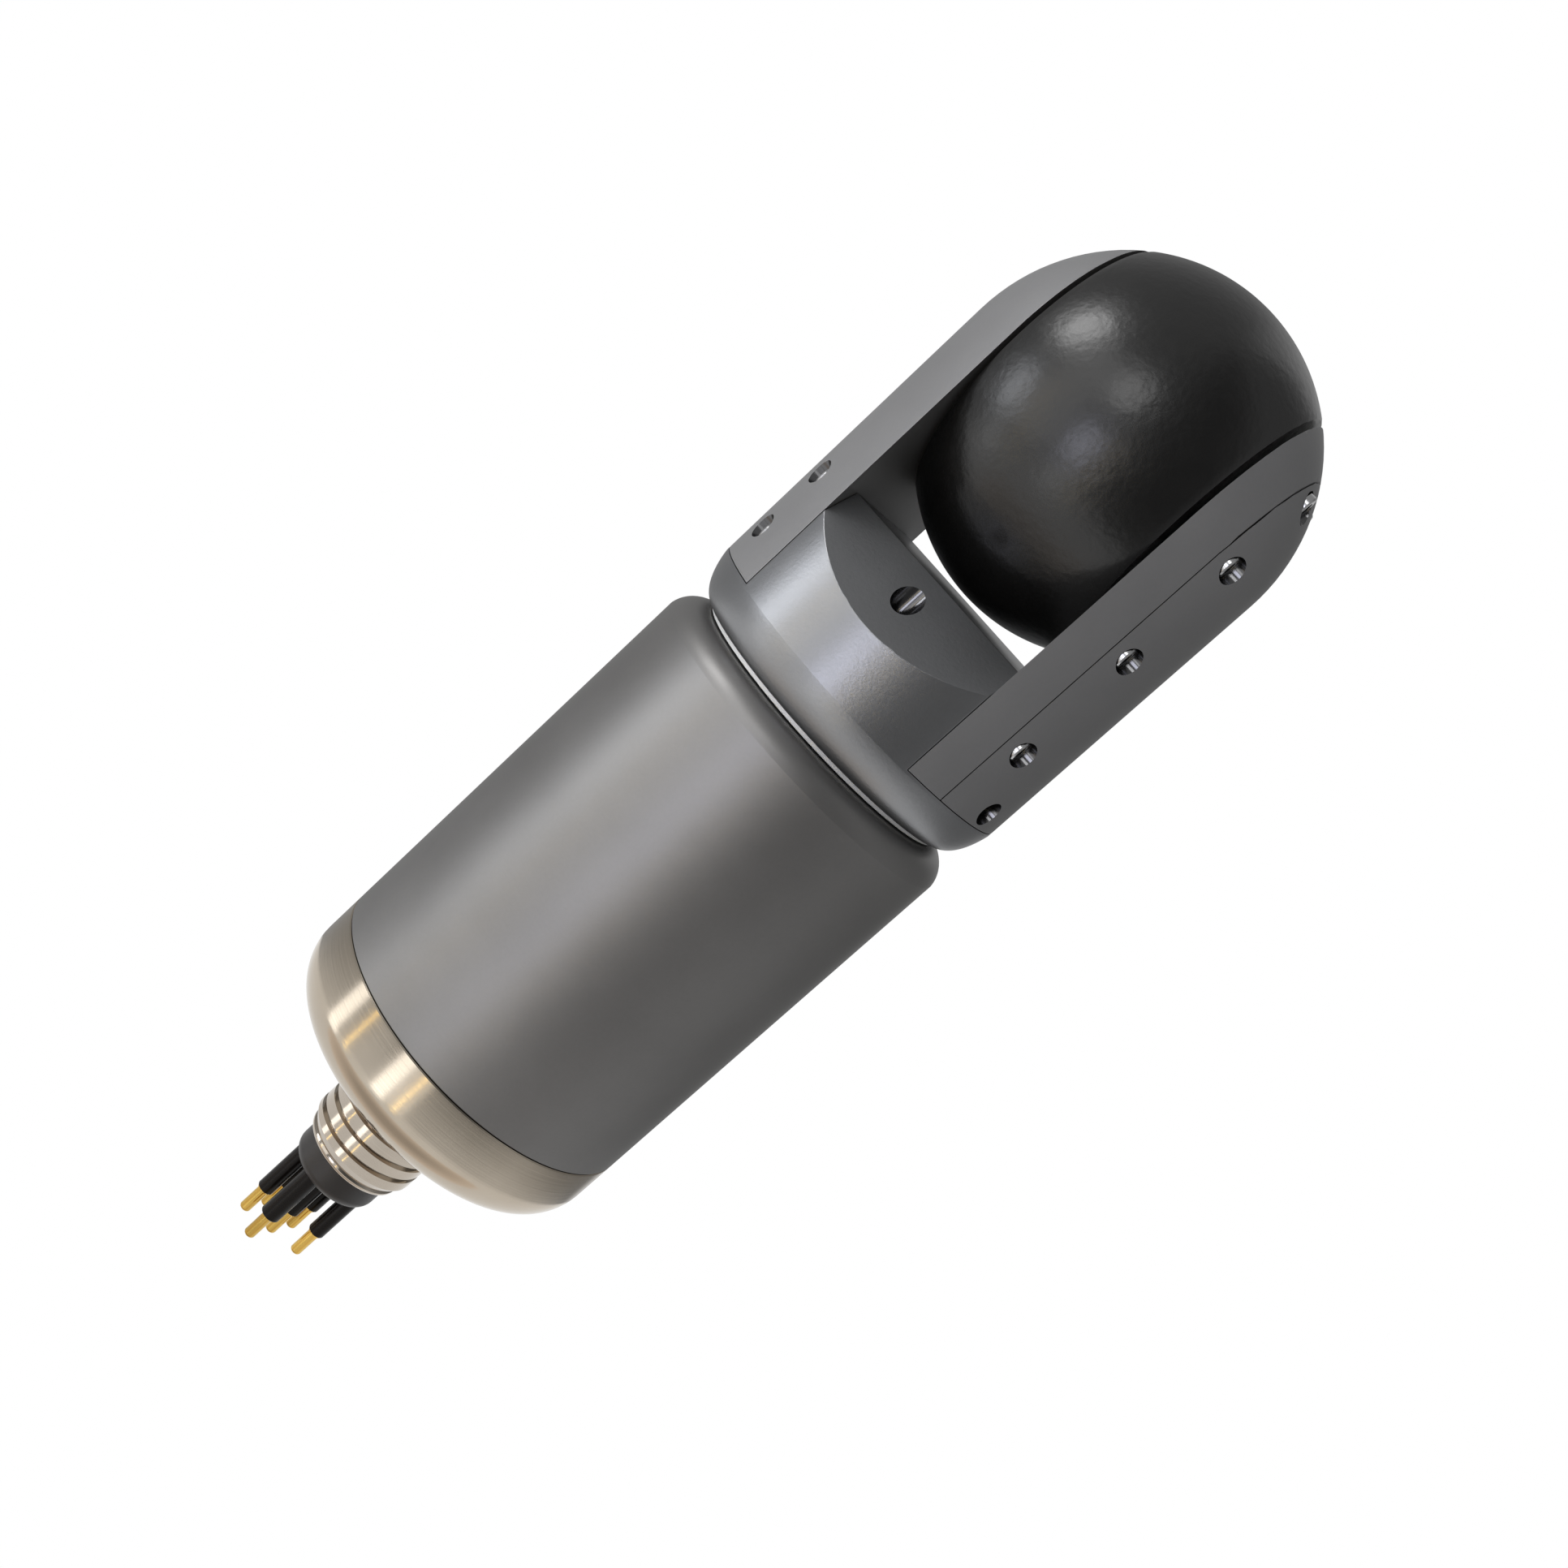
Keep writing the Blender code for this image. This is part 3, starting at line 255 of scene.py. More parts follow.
def block(low, high):
    """A cube primitive stretched between two corners, used as a cutting tool."""
    bpy.ops.object.select_all(action="DESELECT")
    middle = (Vector(low) + Vector(high)) / 2
    bpy.ops.mesh.primitive_cube_add(size=1.0, location=middle)
    piece = bpy.context.object
    piece.scale = Vector(high) - Vector(low)
    bpy.ops.object.transform_apply(location=True, rotation=True, scale=True)
    return piece


def break_edges(piece, width, segments=2, angle=40.0):
    """Break every sharp edge with a small bevel, as a machinist does before anodising."""
    step = piece.modifiers.new("edges", "BEVEL")
    step.width = width
    step.segments = segments
    step.limit_method = "ANGLE"
    step.angle_limit = math.radians(angle)
    step.use_clamp_overlap = True
    step.harden_normals = False
    select_only(piece)
    bpy.ops.object.modifier_apply(modifier=step.name)
    return piece


def smooth(piece):
    """Shade smooth below the sharp angle, and let large faces lead, so that flats stay flat."""
    select_only(piece)
    bpy.ops.object.shade_smooth_by_angle(angle=SMOOTH_ANGLE)
    step = piece.modifiers.new("lead", "WEIGHTED_NORMAL")
    step.keep_sharp = True
    step.weight = 100
    bpy.ops.object.modifier_apply(modifier=step.name)
    return piece


# %% [markdown]
# ## Material helpers
#
# A colour is written as the sRGB hex value that a painter's eye reads off the picture, and one function
# turns it to the linear values that the shader wants. One more function adds a node with its settings
# and its links, so that each material below reads as a short recipe.

# %% Helpers for materials
def linear(code):
    """An sRGB hex colour as linear RGBA."""
    parts = [int(code[index : index + 2], 16) / 255 for index in (1, 3, 5)]
    values = [part / 12.92 if part <= 0.04045 else ((part + 0.055) / 1.055) ** 2.4 for part in parts]
    return (*values, 1.0)


def add(tree, kind, settings=None, **links):
    """Add a node, set its properties and inputs, and link what is given as another node's socket."""
    node = tree.nodes.new(kind)
    for name, value in (settings or {}).items():
        setattr(node, name, value)
    for name, value in links.items():
        socket = node.inputs[int(name[1:])] if name[0] == "i" and name[1:].isdigit() else node.inputs[name]
        if isinstance(value, bpy.types.NodeSocket):
            tree.links.new(value, socket)
        else:
            socket.default_value = value
    return node


def new_material(name):
    """An empty Principled material, with its tree, shader and Object coordinates."""
    material = bpy.data.materials.new(name)
    material.use_nodes = True
    tree = material.node_tree
    shader = tree.nodes["Principled BSDF"]
    where = tree.nodes.new("ShaderNodeTexCoord").outputs["Object"]
    return material, tree, shader, where


def set_shader(shader, **values):
    """Set uniform values on the shader's own sockets."""
    for name, value in values.items():
        shader.inputs[name.replace("_", " ")].default_value = value


def work_surface(tree, shader, shine, roughness, spread, height, depth):
    """Let one pattern vary the roughness, and another raise a relief of a depth in metres."""
    rough = add(tree, "ShaderNodeMapRange", Value=shine.outputs["Fac"])
    rough.inputs["To Min"].default_value = roughness - spread
    rough.inputs["To Max"].default_value = roughness + spread
    tree.links.new(rough.outputs["Result"], shader.inputs["Roughness"])
    bump = add(tree, "ShaderNodeBump", Height=height.outputs["Fac"], Strength=1.0, Distance=depth)
    tree.links.new(bump.outputs["Normal"], shader.inputs["Normal"])


# %% [markdown]
# ## Hard-anodised aluminium
#
# The housing and the head are aluminium, blasted with fine beads and hard-anodised, which gives a satin
# grey: light spreads into one wide band along the cylinder, the dark side stays clear, and a very fine
# grain shows close up. Blast marks are about 0.1 mm wide, too fine to show, so they are drawn at about
# 0.6 mm, with a relief of 0.008 to 0.03 mm. A slow change over 20 mm keeps the coat from looking like
# paint, and the arms get a duller coat than the base. Beads hardly reach into a drilled hole, so its walls
# keep the drill's finish, more of a mirror; they are also painted darker, as painted shade inside the
# hole, so that a counterbore reads as deep.

# %% Anodised finishes
GRAIN_SIZE = 0.6 * MM
GRAIN_SHARE = 0.35
COAT_CLOUD = 20 * MM
COAT_SPREAD = 0.03
TONE_START = 0.35


def anodised(name, dark, light, roughness, metallic, peel):
    """A blasted and anodised finish between two greys, with the depth of its grain in metres."""
    material, tree, shader, where = new_material(name)
    grain = add(tree, "ShaderNodeTexNoise", Vector=where, Scale=1 / GRAIN_SIZE, Detail=4.0, Roughness=0.65)
    cloud = add(tree, "ShaderNodeTexNoise", Vector=where, Scale=1 / COAT_CLOUD, Detail=3.0, Roughness=0.55)
    blend = add(tree, "ShaderNodeMath", {"operation": "MULTIPLY_ADD"}, i0=grain.outputs["Fac"])
    blend.inputs[1].default_value = GRAIN_SHARE
    tree.links.new(cloud.outputs["Fac"], blend.inputs[2])
    tone = add(tree, "ShaderNodeValToRGB", Fac=blend.outputs["Value"])
    tone.color_ramp.elements[0].position = TONE_START
    tone.color_ramp.elements[0].color = linear(dark)
    tone.color_ramp.elements[1].position = 1.0
    tone.color_ramp.elements[1].color = linear(light)
    tree.links.new(tone.outputs["Color"], shader.inputs["Base Color"])
    work_surface(tree, shader, cloud, roughness, COAT_SPREAD, grain, peel)
    set_shader(shader, Metallic=metallic)
    return material


housing_grey = anodised("hard_anodised_aluminium_housing", "#807F7E", "#8A8988", 0.45, 0.85, 0.01 * MM)
base_grey = anodised("hard_anodised_aluminium_base", "#868789", "#919294", 0.35, 0.9, 0.03 * MM)
arm_grey = anodised("hard_anodised_aluminium_arms", "#848485", "#8E8E8F", 0.56, 0.45, 0.008 * MM)
# The bored walls are painted darker than the coat, as painted shade inside the holes.
bored_grey_painted_shade = anodised("bored_anodised_aluminium", "#5C5C5D", "#666667", 0.16, 0.95, 0.002 * MM)
print("anodised finishes", housing_grey.name, base_grey.name, arm_grey.name, bored_grey_painted_shade.name)

# %% [markdown]
# ## Turned stainless steel
#
# The end cap, the connector's shell and the pan shaft are stainless steel, left bright from the lathe. The
# tool leaves fine rings round the axis, so the roughness and a faint bump follow rings: noise that changes
# with the distance along and out from the axis, and hardly at all round it. Feed marks are about
# 0.15 mm apart on the real part, and are drawn at 0.35 mm.

# %% Stainless steel
FEED = 0.35 * MM
FEED_DEPTH = 0.001 * MM
FEED_SPREAD = 0.06
STAIN = 9 * MM


def turned_steel(name, colour, pale, roughness):
    """Bright steel with the rings that a lathe leaves."""
    material, tree, shader, where = new_material(name)
    apart = add(tree, "ShaderNodeSeparateXYZ", Vector=where)
    squares = [
        add(tree, "ShaderNodeMath", {"operation": "MULTIPLY"}, i0=apart.outputs[axis], i1=apart.outputs[axis])
        for axis in ("X", "Y")
    ]
    parts = [square.outputs[0] for square in squares]
    total = add(tree, "ShaderNodeMath", {"operation": "ADD"}, i0=parts[0], i1=parts[1])
    out = add(tree, "ShaderNodeMath", {"operation": "SQRT"}, i0=total.outputs[0])
    reach = add(tree, "ShaderNodeMath", {"operation": "ADD"}, i0=out.outputs[0], i1=apart.outputs["Z"])
    along = {"noise_dimensions": "1D"}
    rings = add(tree, "ShaderNodeTexNoise", along, W=reach.outputs[0], Scale=1 / FEED, Detail=2.0)
    cloud = add(tree, "ShaderNodeTexNoise", Vector=where, Scale=1 / STAIN, Detail=4.0, Roughness=0.6)
    tone = add(tree, "ShaderNodeMix", {"data_type": "RGBA"}, Factor=cloud.outputs["Fac"])
    tone.inputs[6].default_value = linear(colour)
    tone.inputs[7].default_value = linear(pale)
    tree.links.new(tone.outputs[2], shader.inputs["Base Color"])
    work_surface(tree, shader, rings, roughness, FEED_SPREAD, rings, FEED_DEPTH)
    set_shader(shader, Metallic=1.0)
    return material


cap_steel = turned_steel("turned_stainless_steel_cap", "#B2A797", "#BDB3A4", 0.16)
shell_steel = turned_steel("turned_stainless_steel_shell", "#ACA295", "#BDB4A8", 0.12)
flange_steel = turned_steel("turned_stainless_steel_flange", "#DCDCDC", "#EBEBEB", 0.42)
screw_steel = turned_steel("stainless_steel_screws", "#A9A9AA", "#C6C6C7", 0.24)
print("steel finishes", cap_steel.name, shell_steel.name, flange_steel.name, screw_steel.name)

# %% [markdown]
# ## Mouldings, gold and the hidden materials
#
# The ball is cast black polyurethane, satin from its mould, with a soft peel about 1.5 mm wide that
# breaks up its highlights, and a few specks of dust. The connector's insert is dull black neoprene, and
# its sleeves are painted darker and reflect less, as painted shade. The contact pins are drawn brass with
# gold plate: drawing leaves lines along the pin of about 0.05 mm, too fine to show, so they are drawn at
# 1.1 mm, from dark brown to pale yellow, which also makes them a painted reflection of dark and pale
# streaks. Screw sockets are broached, and painted dark as shade in the hexagon, and the shaft's rim is
# painted near-white, a painted highlight that draws one even line in the gap. Inside, rubber seals,
# laminate, motor cans and ceramic are plainer, but each still varies over its surface.

# %% Moulded, plated and inner materials
DUST = "#B9B9B4"
DUST_SPACING = 11 * MM


def mottled(
    name,
    dark,
    light,
    roughness,
    spread,
    size,
    metallic=0.0,
    grain=0.3 * MM,
    relief=0.002 * MM,
    dust=0.0,
    drawn=1.0,
):
    """A finish that varies softly over a size, with a fine grain and the depth of its relief. Dust is the
    radius of its specks, and drawn metal has the pattern stretched along Z. Sizes are in metres."""
    material, tree, shader, where = new_material(name)
    if drawn != 1.0:
        stretch = add(tree, "ShaderNodeVectorMath", {"operation": "MULTIPLY"}, i0=where)
        stretch.inputs[1].default_value = (1.0, 1.0, 1.0 / drawn)
        where = stretch.outputs[0]
    cloud = add(tree, "ShaderNodeTexNoise", Vector=where, Scale=1 / size, Detail=4.0, Roughness=0.6)
    fine = add(tree, "ShaderNodeTexNoise", Vector=where, Scale=1 / grain, Detail=2.0)
    tone = add(tree, "ShaderNodeMix", {"data_type": "RGBA"}, Factor=cloud.outputs["Fac"])
    tone.inputs[6].default_value = linear(dark)
    tone.inputs[7].default_value = linear(light)
    if dust:
        cells = add(tree, "ShaderNodeTexVoronoi", Vector=where, Scale=1 / DUST_SPACING)
        near = add(tree, "ShaderNodeMath", {"operation": "LESS_THAN"}, i0=cells.outputs["Distance"])
        near.inputs[1].default_value = dust / DUST_SPACING
        speck = add(tree, "ShaderNodeMix", {"data_type": "RGBA"}, Factor=near.outputs[0], i6=tone.outputs[2])
        speck.inputs[7].default_value = linear(DUST)
        tone = speck
    tree.links.new(tone.outputs[2], shader.inputs["Base Color"])
    work_surface(tree, shader, cloud, roughness, spread, fine, relief)
    set_shader(shader, Metallic=metallic)
    return material


ball_black = mottled(
    "cast_polyurethane_black",
    "#080808",
    "#0F0E0D",
    0.31,
    0.05,
    4 * MM,
    grain=1.5 * MM,
    relief=0.06 * MM,
    dust=0.16 * MM,
)
set_shader(ball_black.node_tree.nodes["Principled BSDF"], Specular_IOR_Level=0.62)
insert_black = mottled("moulded_neoprene", "#1A1715", "#231F1D", 0.42, 0.08, 4 * MM)
# The sleeves' darker colour and weak reflection are painted shade.
sleeve_painted_shade = mottled("greased_neoprene", "#0D0A09", "#15110F", 0.26, 0.06, 4 * MM)
set_shader(sleeve_painted_shade.node_tree.nodes["Principled BSDF"], Specular_IOR_Level=0.15)
# The wide range from dark brown to pale yellow, in streaks along the pin, is painted reflection as well as
# drawing lines.
pin_gold = mottled(
    "gold_plated_brass",
    "#6A480C",
    "#FFD876",
    0.12,
    0.04,
    1.1 * MM,
    metallic=1.0,
    relief=0.0003 * MM,
    drawn=30.0,
)
seal_black = mottled("nitrile_rubber", "#1B1B1B", "#262626", 0.6, 0.08, 3 * MM)
motor_dark = mottled("blackened_motor_steel", "#3E4044", "#55575B", 0.42, 0.08, 5 * MM, metallic=0.9)
board_green = mottled("solder_masked_laminate", "#12472A", "#1A5A35", 0.4, 0.08, 3 * MM)
element_buff = mottled("fired_piezo_ceramic", "#CFC3A4", "#DDD3B8", 0.6, 0.08, 4 * MM)
plastic_black = mottled("moulded_acetal", "#242426", "#303032", 0.45, 0.08, 4 * MM)
# The screw sockets' dark colour is painted shade in the hexagon.
socket_painted_shade = mottled("broached_screw_socket", "#2B2B2C", "#39393A", 0.5, 0.08, MM, metallic=0.8)
# The rim's near-white colour is a painted highlight.
rim_painted_highlight = mottled("ptfe_rim_coat", "#F0F0EE", "#FAFAF8", 0.35, 0.06, 3 * MM)
print("moulded finishes", ball_black.name, insert_black.name, sleeve_painted_shade.name, pin_gold.name)

# %% [markdown]
# ## Dressing a piece
#
# A finished piece is smoothed, given its material, tied to the moving body that carries it, and the
# frame's nodes that it stands in for are hidden. One function keeps these steps in order.

# %% Dress a piece
def dress(piece, material, body, slot, *nodes):
    """Smooth a piece, give it its finish where it has none yet, and put it in its nodes' place."""
    smooth(piece)
    if not any(piece.data.materials):
        piece.data.materials.clear()
        piece.data.materials.append(material)
    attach(piece, body)
    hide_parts(*nodes)
    print(piece.name, len(piece.data.polygons), "faces")
    return piece


# %% [markdown]
# ## Housing and end cap
#
# The housing is a cup with a rounded shoulder: a plain tube below, a thick top with a seal bore and a
# bearing boss. The end cap closes it with a broad rounded edge, and its spigot reaches up inside. Both
# are profiles spun about the axis. The corner at the seam is broken by a fifth of a millimetre, so the
# seam reads as one fine dark line, and the shoulder meets the tube at a slight angle, which draws another.

# %% Main housing
CLEARANCE = 0.3 * MM
SEAM_BREAK = 0.2 * MM
TUBE_RINGS = 12
SHOULDER = 5.3 * MM
SHOULDER_LEAN = 9.0
LINE = 0.15 * MM
SEAL_BORE = 9.8 * MM
HOUSING_WALL = 4.5 * MM
TOP_WALL = 6.0 * MM
SEAL_STEP = 2.0 * MM
BOSS = 15.0 * MM
BOSS_BORE = 11.0 * MM
MOTOR_SEAT = 3.0 * MM
RING_GROOVE = 1.5 * MM
BOSS_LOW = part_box("pan_bearing_lower")[0].z - CLEARANCE


def make_housing():
    top = housing_high.z
    low = housing_low.z
    bore = RADIUS - HOUSING_WALL
    ring_low, ring_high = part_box("retaining_ring")
    profile = [(bore, low), (RADIUS - SEAM_BREAK, low), (RADIUS, low + SEAM_BREAK)]
    profile += [(RADIUS, low + (top - SHOULDER - low) * part / TUBE_RINGS) for part in range(1, TUBE_RINGS)]
    lean = math.radians(SHOULDER_LEAN)
    profile += [(RADIUS, top - SHOULDER + SHOULDER * math.sin(lean) - LINE)]
    profile += arc(RADIUS - SHOULDER * math.cos(lean), top - SHOULDER, SHOULDER, SHOULDER_LEAN, 90.0)
    profile += [
        (SEAL_BORE, top),
        (SEAL_BORE, top - TOP_WALL),
        (BOSS_BORE, top - TOP_WALL - SEAL_STEP),
        (BOSS_BORE, BOSS_LOW),
        (BOSS, BOSS_LOW),
        (BOSS, top - TOP_WALL),
        (bore - MOTOR_SEAT, top - TOP_WALL),
        (bore - MOTOR_SEAT, BOSS_LOW),
        (bore, BOSS_LOW),
        (bore, ring_high.z + CLEARANCE),
        (bore + RING_GROOVE, ring_high.z + CLEARANCE),
        (bore + RING_GROOVE, ring_low.z - CLEARANCE),
        (bore, ring_low.z - CLEARANCE),
    ]
    return turned("housing_tube", profile)


dress(make_housing(), housing_grey, "housing", "housing_anodised", "main_housing")

# %% End cap
CAP_ROUND = 8.2 * MM
CAP_LINE_ANGLE = 7.0
CAP_LINE = 0.2 * MM
CAP_STEPS = 20
CAP_HOLE = 6.3 * MM
SPIGOT = 27.7 * MM
SPIGOT_WALL = 5.7 * MM
CAP_FLOOR = 9.6 * MM
SPOT_DEPTH = 0.5 * MM
SPOT_RADIUS = shell_high.x + CLEARANCE
GROOVE_LOW = 3.0 * MM
GROOVE_HIGH = 5.6 * MM
GROOVE_DEPTH = 2.6 * MM


def make_end_cap():
    seam = housing_low.z - SEAM_BREAK
    face = cap_low.z
    inner = SPIGOT - SPIGOT_WALL
    spot = face + SPOT_DEPTH
    ring_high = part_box("connector_o_ring")[1]
    ring_out = ring_high.x + CLEARANCE
    ring_in = ring_out - GROOVE_DEPTH
    profile = [
        (CAP_HOLE, face + CAP_FLOOR),
        (CAP_HOLE, spot),
        (ring_in, spot),
        (ring_in, ring_high.z + CLEARANCE),
        (ring_out, ring_high.z + CLEARANCE),
        (ring_out, spot),
        (SPOT_RADIUS, spot),
        (SPOT_RADIUS, face),
    ]
    profile += arc(RADIUS - CAP_ROUND, face + CAP_ROUND, CAP_ROUND, -90.0, -CAP_LINE_ANGLE, CAP_STEPS)
    profile += [
        (RADIUS, face + CAP_ROUND + CAP_LINE),
        (RADIUS, seam - SEAM_BREAK),
        (RADIUS - SEAM_BREAK, seam),
        (SPIGOT, seam),
        (SPIGOT, seam + GROOVE_LOW),
        (SPIGOT - GROOVE_DEPTH, seam + GROOVE_LOW),
        (SPIGOT - GROOVE_DEPTH, seam + GROOVE_HIGH),
        (SPIGOT, seam + GROOVE_HIGH),
        (SPIGOT, cap_high.z),
        (inner, cap_high.z),
        (inner, face + CAP_FLOOR),
    ]
    return turned("end_cap_turned", profile)


dress(make_end_cap(), cap_steel, "housing", "stainless", "end_cap")

# %% [markdown]
# ## The bulkhead connector
#
# The shell carries a coarse round thread for the locking sleeve of the plug. A real thread is a groove
# that climbs, so a small closed section is drawn and a Screw modifier winds it down the shell, and that
# tool is cut away. The rubber insert is turned, its six sleeves are joined on, and each gold pin is
# turned with a collar and a round tip.

# %% Connector shell
THREAD_PITCH = 3.1 * MM
THREAD_DEPTH = 0.75 * MM
THREAD_HALF = 0.55 * MM
THREAD_MOUTH = THREAD_HALF * 1.3
THREAD_ROOT = THREAD_HALF * 0.35
THREAD_OVER = 0.4 * MM
THREAD_TURNS = 4
THREAD_START = 2.9 * MM
THREAD_STEPS = 96
SHELL_RINGS = 5
SHELL_TAPER = 3.2 * MM
SHELL_LIP = 0.2 * MM
SHELL_ROUND = 0.9 * MM
SHELL_LEAN = 35.0
INSERT_PLAY = 0.2 * MM
SHANK = 6.0 * MM
SHELL_SOCKET = 12.0 * MM


def make_thread_tool():
    radius = shell_high.x
    start = shell_low.z + THREAD_START
    section = [
        (radius + THREAD_OVER, start + THREAD_MOUTH),
        (radius - THREAD_DEPTH, start + THREAD_ROOT),
        (radius - THREAD_DEPTH, start - THREAD_ROOT),
        (radius + THREAD_OVER, start - THREAD_MOUTH),
    ]
    tool = draw("thread_tool", section, closed=True)
    wind = tool.modifiers.new("wind", "SCREW")
    wind.screw_offset = THREAD_PITCH
    wind.iterations = THREAD_TURNS
    wind.steps = THREAD_STEPS
    wind.render_steps = THREAD_STEPS
    wind.use_merge_vertices = False
    select_only(tool)
    bpy.ops.object.modifier_apply(modifier=wind.name)
    enter(tool)
    bpy.ops.mesh.fill_holes(sides=0)
    leave()
    return tidy(tool)


def make_shell():
    radius = shell_high.x
    insert = insert_high.x + INSERT_PLAY
    flange = cap_low.z + SPOT_DEPTH - SEAM_BREAK
    end = shell_low.z
    profile = [
        (SHANK, shell_high.z),
        (SHANK, flange),
        (radius - SEAM_BREAK, flange),
        (radius, flange - SEAM_BREAK),
    ]
    straight = flange - end - SHELL_TAPER
    profile += [(radius, flange - straight * part / SHELL_RINGS) for part in range(1, SHELL_RINGS + 1)]
    profile += arc(insert + SHELL_LIP, end + SHELL_ROUND, SHELL_ROUND, SHELL_LEAN, -90.0, steps=8)
    profile += [
        (insert, end),
        (insert, end + SHELL_SOCKET),
        (SHANK / 2, end + SHELL_SOCKET),
        (SHANK / 2, shell_high.z),
    ]
    return cut(turned("threaded_shell", profile), make_thread_tool())


dress(make_shell(), shell_steel, "housing", "stainless", "connector_shell")

# %% Connector insert and pins
PIN_NODES = [f"contact_pin_{number}" for number in range(1, 7)]
SLEEVE = 1.65 * MM
KEY_SLEEVE = 1.95 * MM
KEY_NODE = "contact_pin_6"
SLEEVE_ROUND = 0.25 * MM
INSERT_ROUND = 2.2 * MM
SLEEVE_REACH = 11.0 * MM
PIN_STEPS = 40
PIN_TIP = 0.55 * MM
COLLAR = 0.28 * MM
COLLAR_ROOT = 1.0 * MM
COLLAR_REACH = 0.25 * MM
COLLAR_BREAK = 0.1 * MM


def middle_of(node, z=0.0):
    """The middle of an upright piece, seen along the axis, at a height."""
    low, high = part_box(node)
    return Vector(((low.x + high.x) / 2, (low.y + high.y) / 2, z))


def make_sleeve(node):
    radius = KEY_SLEEVE if node == KEY_NODE else SLEEVE
    end = insert_low.z
    root = end + SLEEVE_REACH + INSERT_ROUND
    profile = [(0.0, root), (radius, root)]
    profile += arc(radius - SLEEVE_ROUND, end + SLEEVE_ROUND, SLEEVE_ROUND, 0.0, -90.0, steps=4)
    profile += [(0.0, end)]
    sleeve = turned("sleeve_" + node, profile, PIN_STEPS)
    # The sleeve's darker material is painted shade.
    sleeve.data.materials.append(sleeve_painted_shade)
    return settle(sleeve, middle_of(node))


def make_insert():
    radius = insert_high.x
    face = insert_low.z + SLEEVE_REACH
    profile = [(0.0, insert_high.z), (radius, insert_high.z), (radius, face + INSERT_ROUND)]
    profile += arc(radius - INSERT_ROUND, face + INSERT_ROUND, INSERT_ROUND, 0.0, -90.0)[1:]
    profile += [(0.0, face)]
    insert = turned("rubber_insert", profile)
    insert.data.materials.append(insert_black)
    return cut(insert, join([make_sleeve(node) for node in PIN_NODES]), "UNION")


def make_pin(node):
    low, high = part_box(node)
    radius = (high.x - low.x) / 2
    wide = radius + COLLAR
    root = insert_low.z + COLLAR_ROOT
    collar = insert_low.z - COLLAR_REACH
    profile = [(0.0, high.z), (radius, high.z), (radius, root)]
    profile += [(wide, root), (wide, collar), (radius, collar - COLLAR_BREAK)]
    profile += arc(radius - PIN_TIP, low.z + PIN_TIP, PIN_TIP, 0.0, -90.0, steps=6)
    profile += [(0.0, low.z)]
    return settle(turned("gold_" + node, profile, PIN_STEPS), middle_of(node))


dress(make_insert(), insert_black, "housing", "rubber_moulding", "connector_insert")
for node in PIN_NODES:
    dress(make_pin(node), pin_gold, "housing", "gold_plate", node)

# %% [markdown]
# ## The pan shaft
#
# Only the rim of the shaft's flange shows, as a bright line in the rotary gap between housing and head.
# The whole shaft is turned all the same, because it turns with the head and shows in a section. The
# faces of the rim are picked by their distance from the axis and are painted near-white, a painted
# highlight for the bright line.

# %% Pan shaft
SHAFT = 4.0 * MM
SHAFT_BORE = 1.8 * MM
FLANGE_THICKNESS = 3.4 * MM
RIM_BREAK = 0.1 * MM


def make_shaft():
    rim = shaft_high.x
    top = shaft_high.z
    low = top - FLANGE_THICKNESS
    profile = [
        (SHAFT_BORE, top),
        (rim - SEAM_BREAK, top),
        (rim, top - SEAM_BREAK),
        (rim, low + RIM_BREAK),
        (rim - RIM_BREAK, low),
        (SHAFT, low),
        (SHAFT, shaft_low.z),
        (SHAFT_BORE, shaft_low.z),
    ]
    return turned("flanged_shaft", profile)


shaft = dress(make_shaft(), flange_steel, "pan_head", "stainless", "pan_shaft")
# The rim's faces get the near-white painted highlight.
shaft.data.materials.append(rim_painted_highlight)
for face in shaft.data.polygons:
    if face.center.xy.length > shaft_high.x - SEAM_BREAK:
        face.material_index = 1

# %% [markdown]
# ## Screws
#
# All screws are socket-head cap screws sunk in counterbores. One head is turned with a small chamfer,
# a hexagon is cut into it, and copies with the right shank stand in for the frame's screws. The places
# come from the frame's own nodes, so holes and screws always agree.

# %% Screw patterns
SCREW_STEPS = 48
SCREW_SHANK = 1.25 * MM
SHANK_CHAMFER = 0.2 * MM
HEAD = 2.1 * MM
HEAD_HEIGHT = 1.2 * MM
HEAD_CHAMFER = 0.25 * MM
SOCKET = 1.15 * MM
SOCKET_DEPTH = 0.8 * MM
COUNTERBORE = 2.4 * MM
HOLE = 1.45 * MM
HOLE_OVER = 2.0 * MM
LONG_BAR = 40 * MM
COVER_SCREWS = [f"cover_screw_{number}" for number in range(1, 7)]
COVER_SCREWS += [f"cover_screw_long_{number}" for number in range(1, 5)]
LEFT_SCREWS = [f"left_arm_screw_{number}" for number in range(1, 5)]
THROAT_SCREWS = ["throat_screw_front", "throat_screw_back"]


def screw_profile(length):
    """A screw about Z, with the seat of its head at zero and its shank downwards."""
    return [
        (0.0, HEAD_HEIGHT),
        (HEAD - HEAD_CHAMFER, HEAD_HEIGHT),
        (HEAD, HEAD_HEIGHT - HEAD_CHAMFER),
        (HEAD, 0.0),
        (SCREW_SHANK, 0.0),
        (SCREW_SHANK, SHANK_CHAMFER - length),
        (SCREW_SHANK - SHANK_CHAMFER, -length),
        (0.0, -length),
    ]


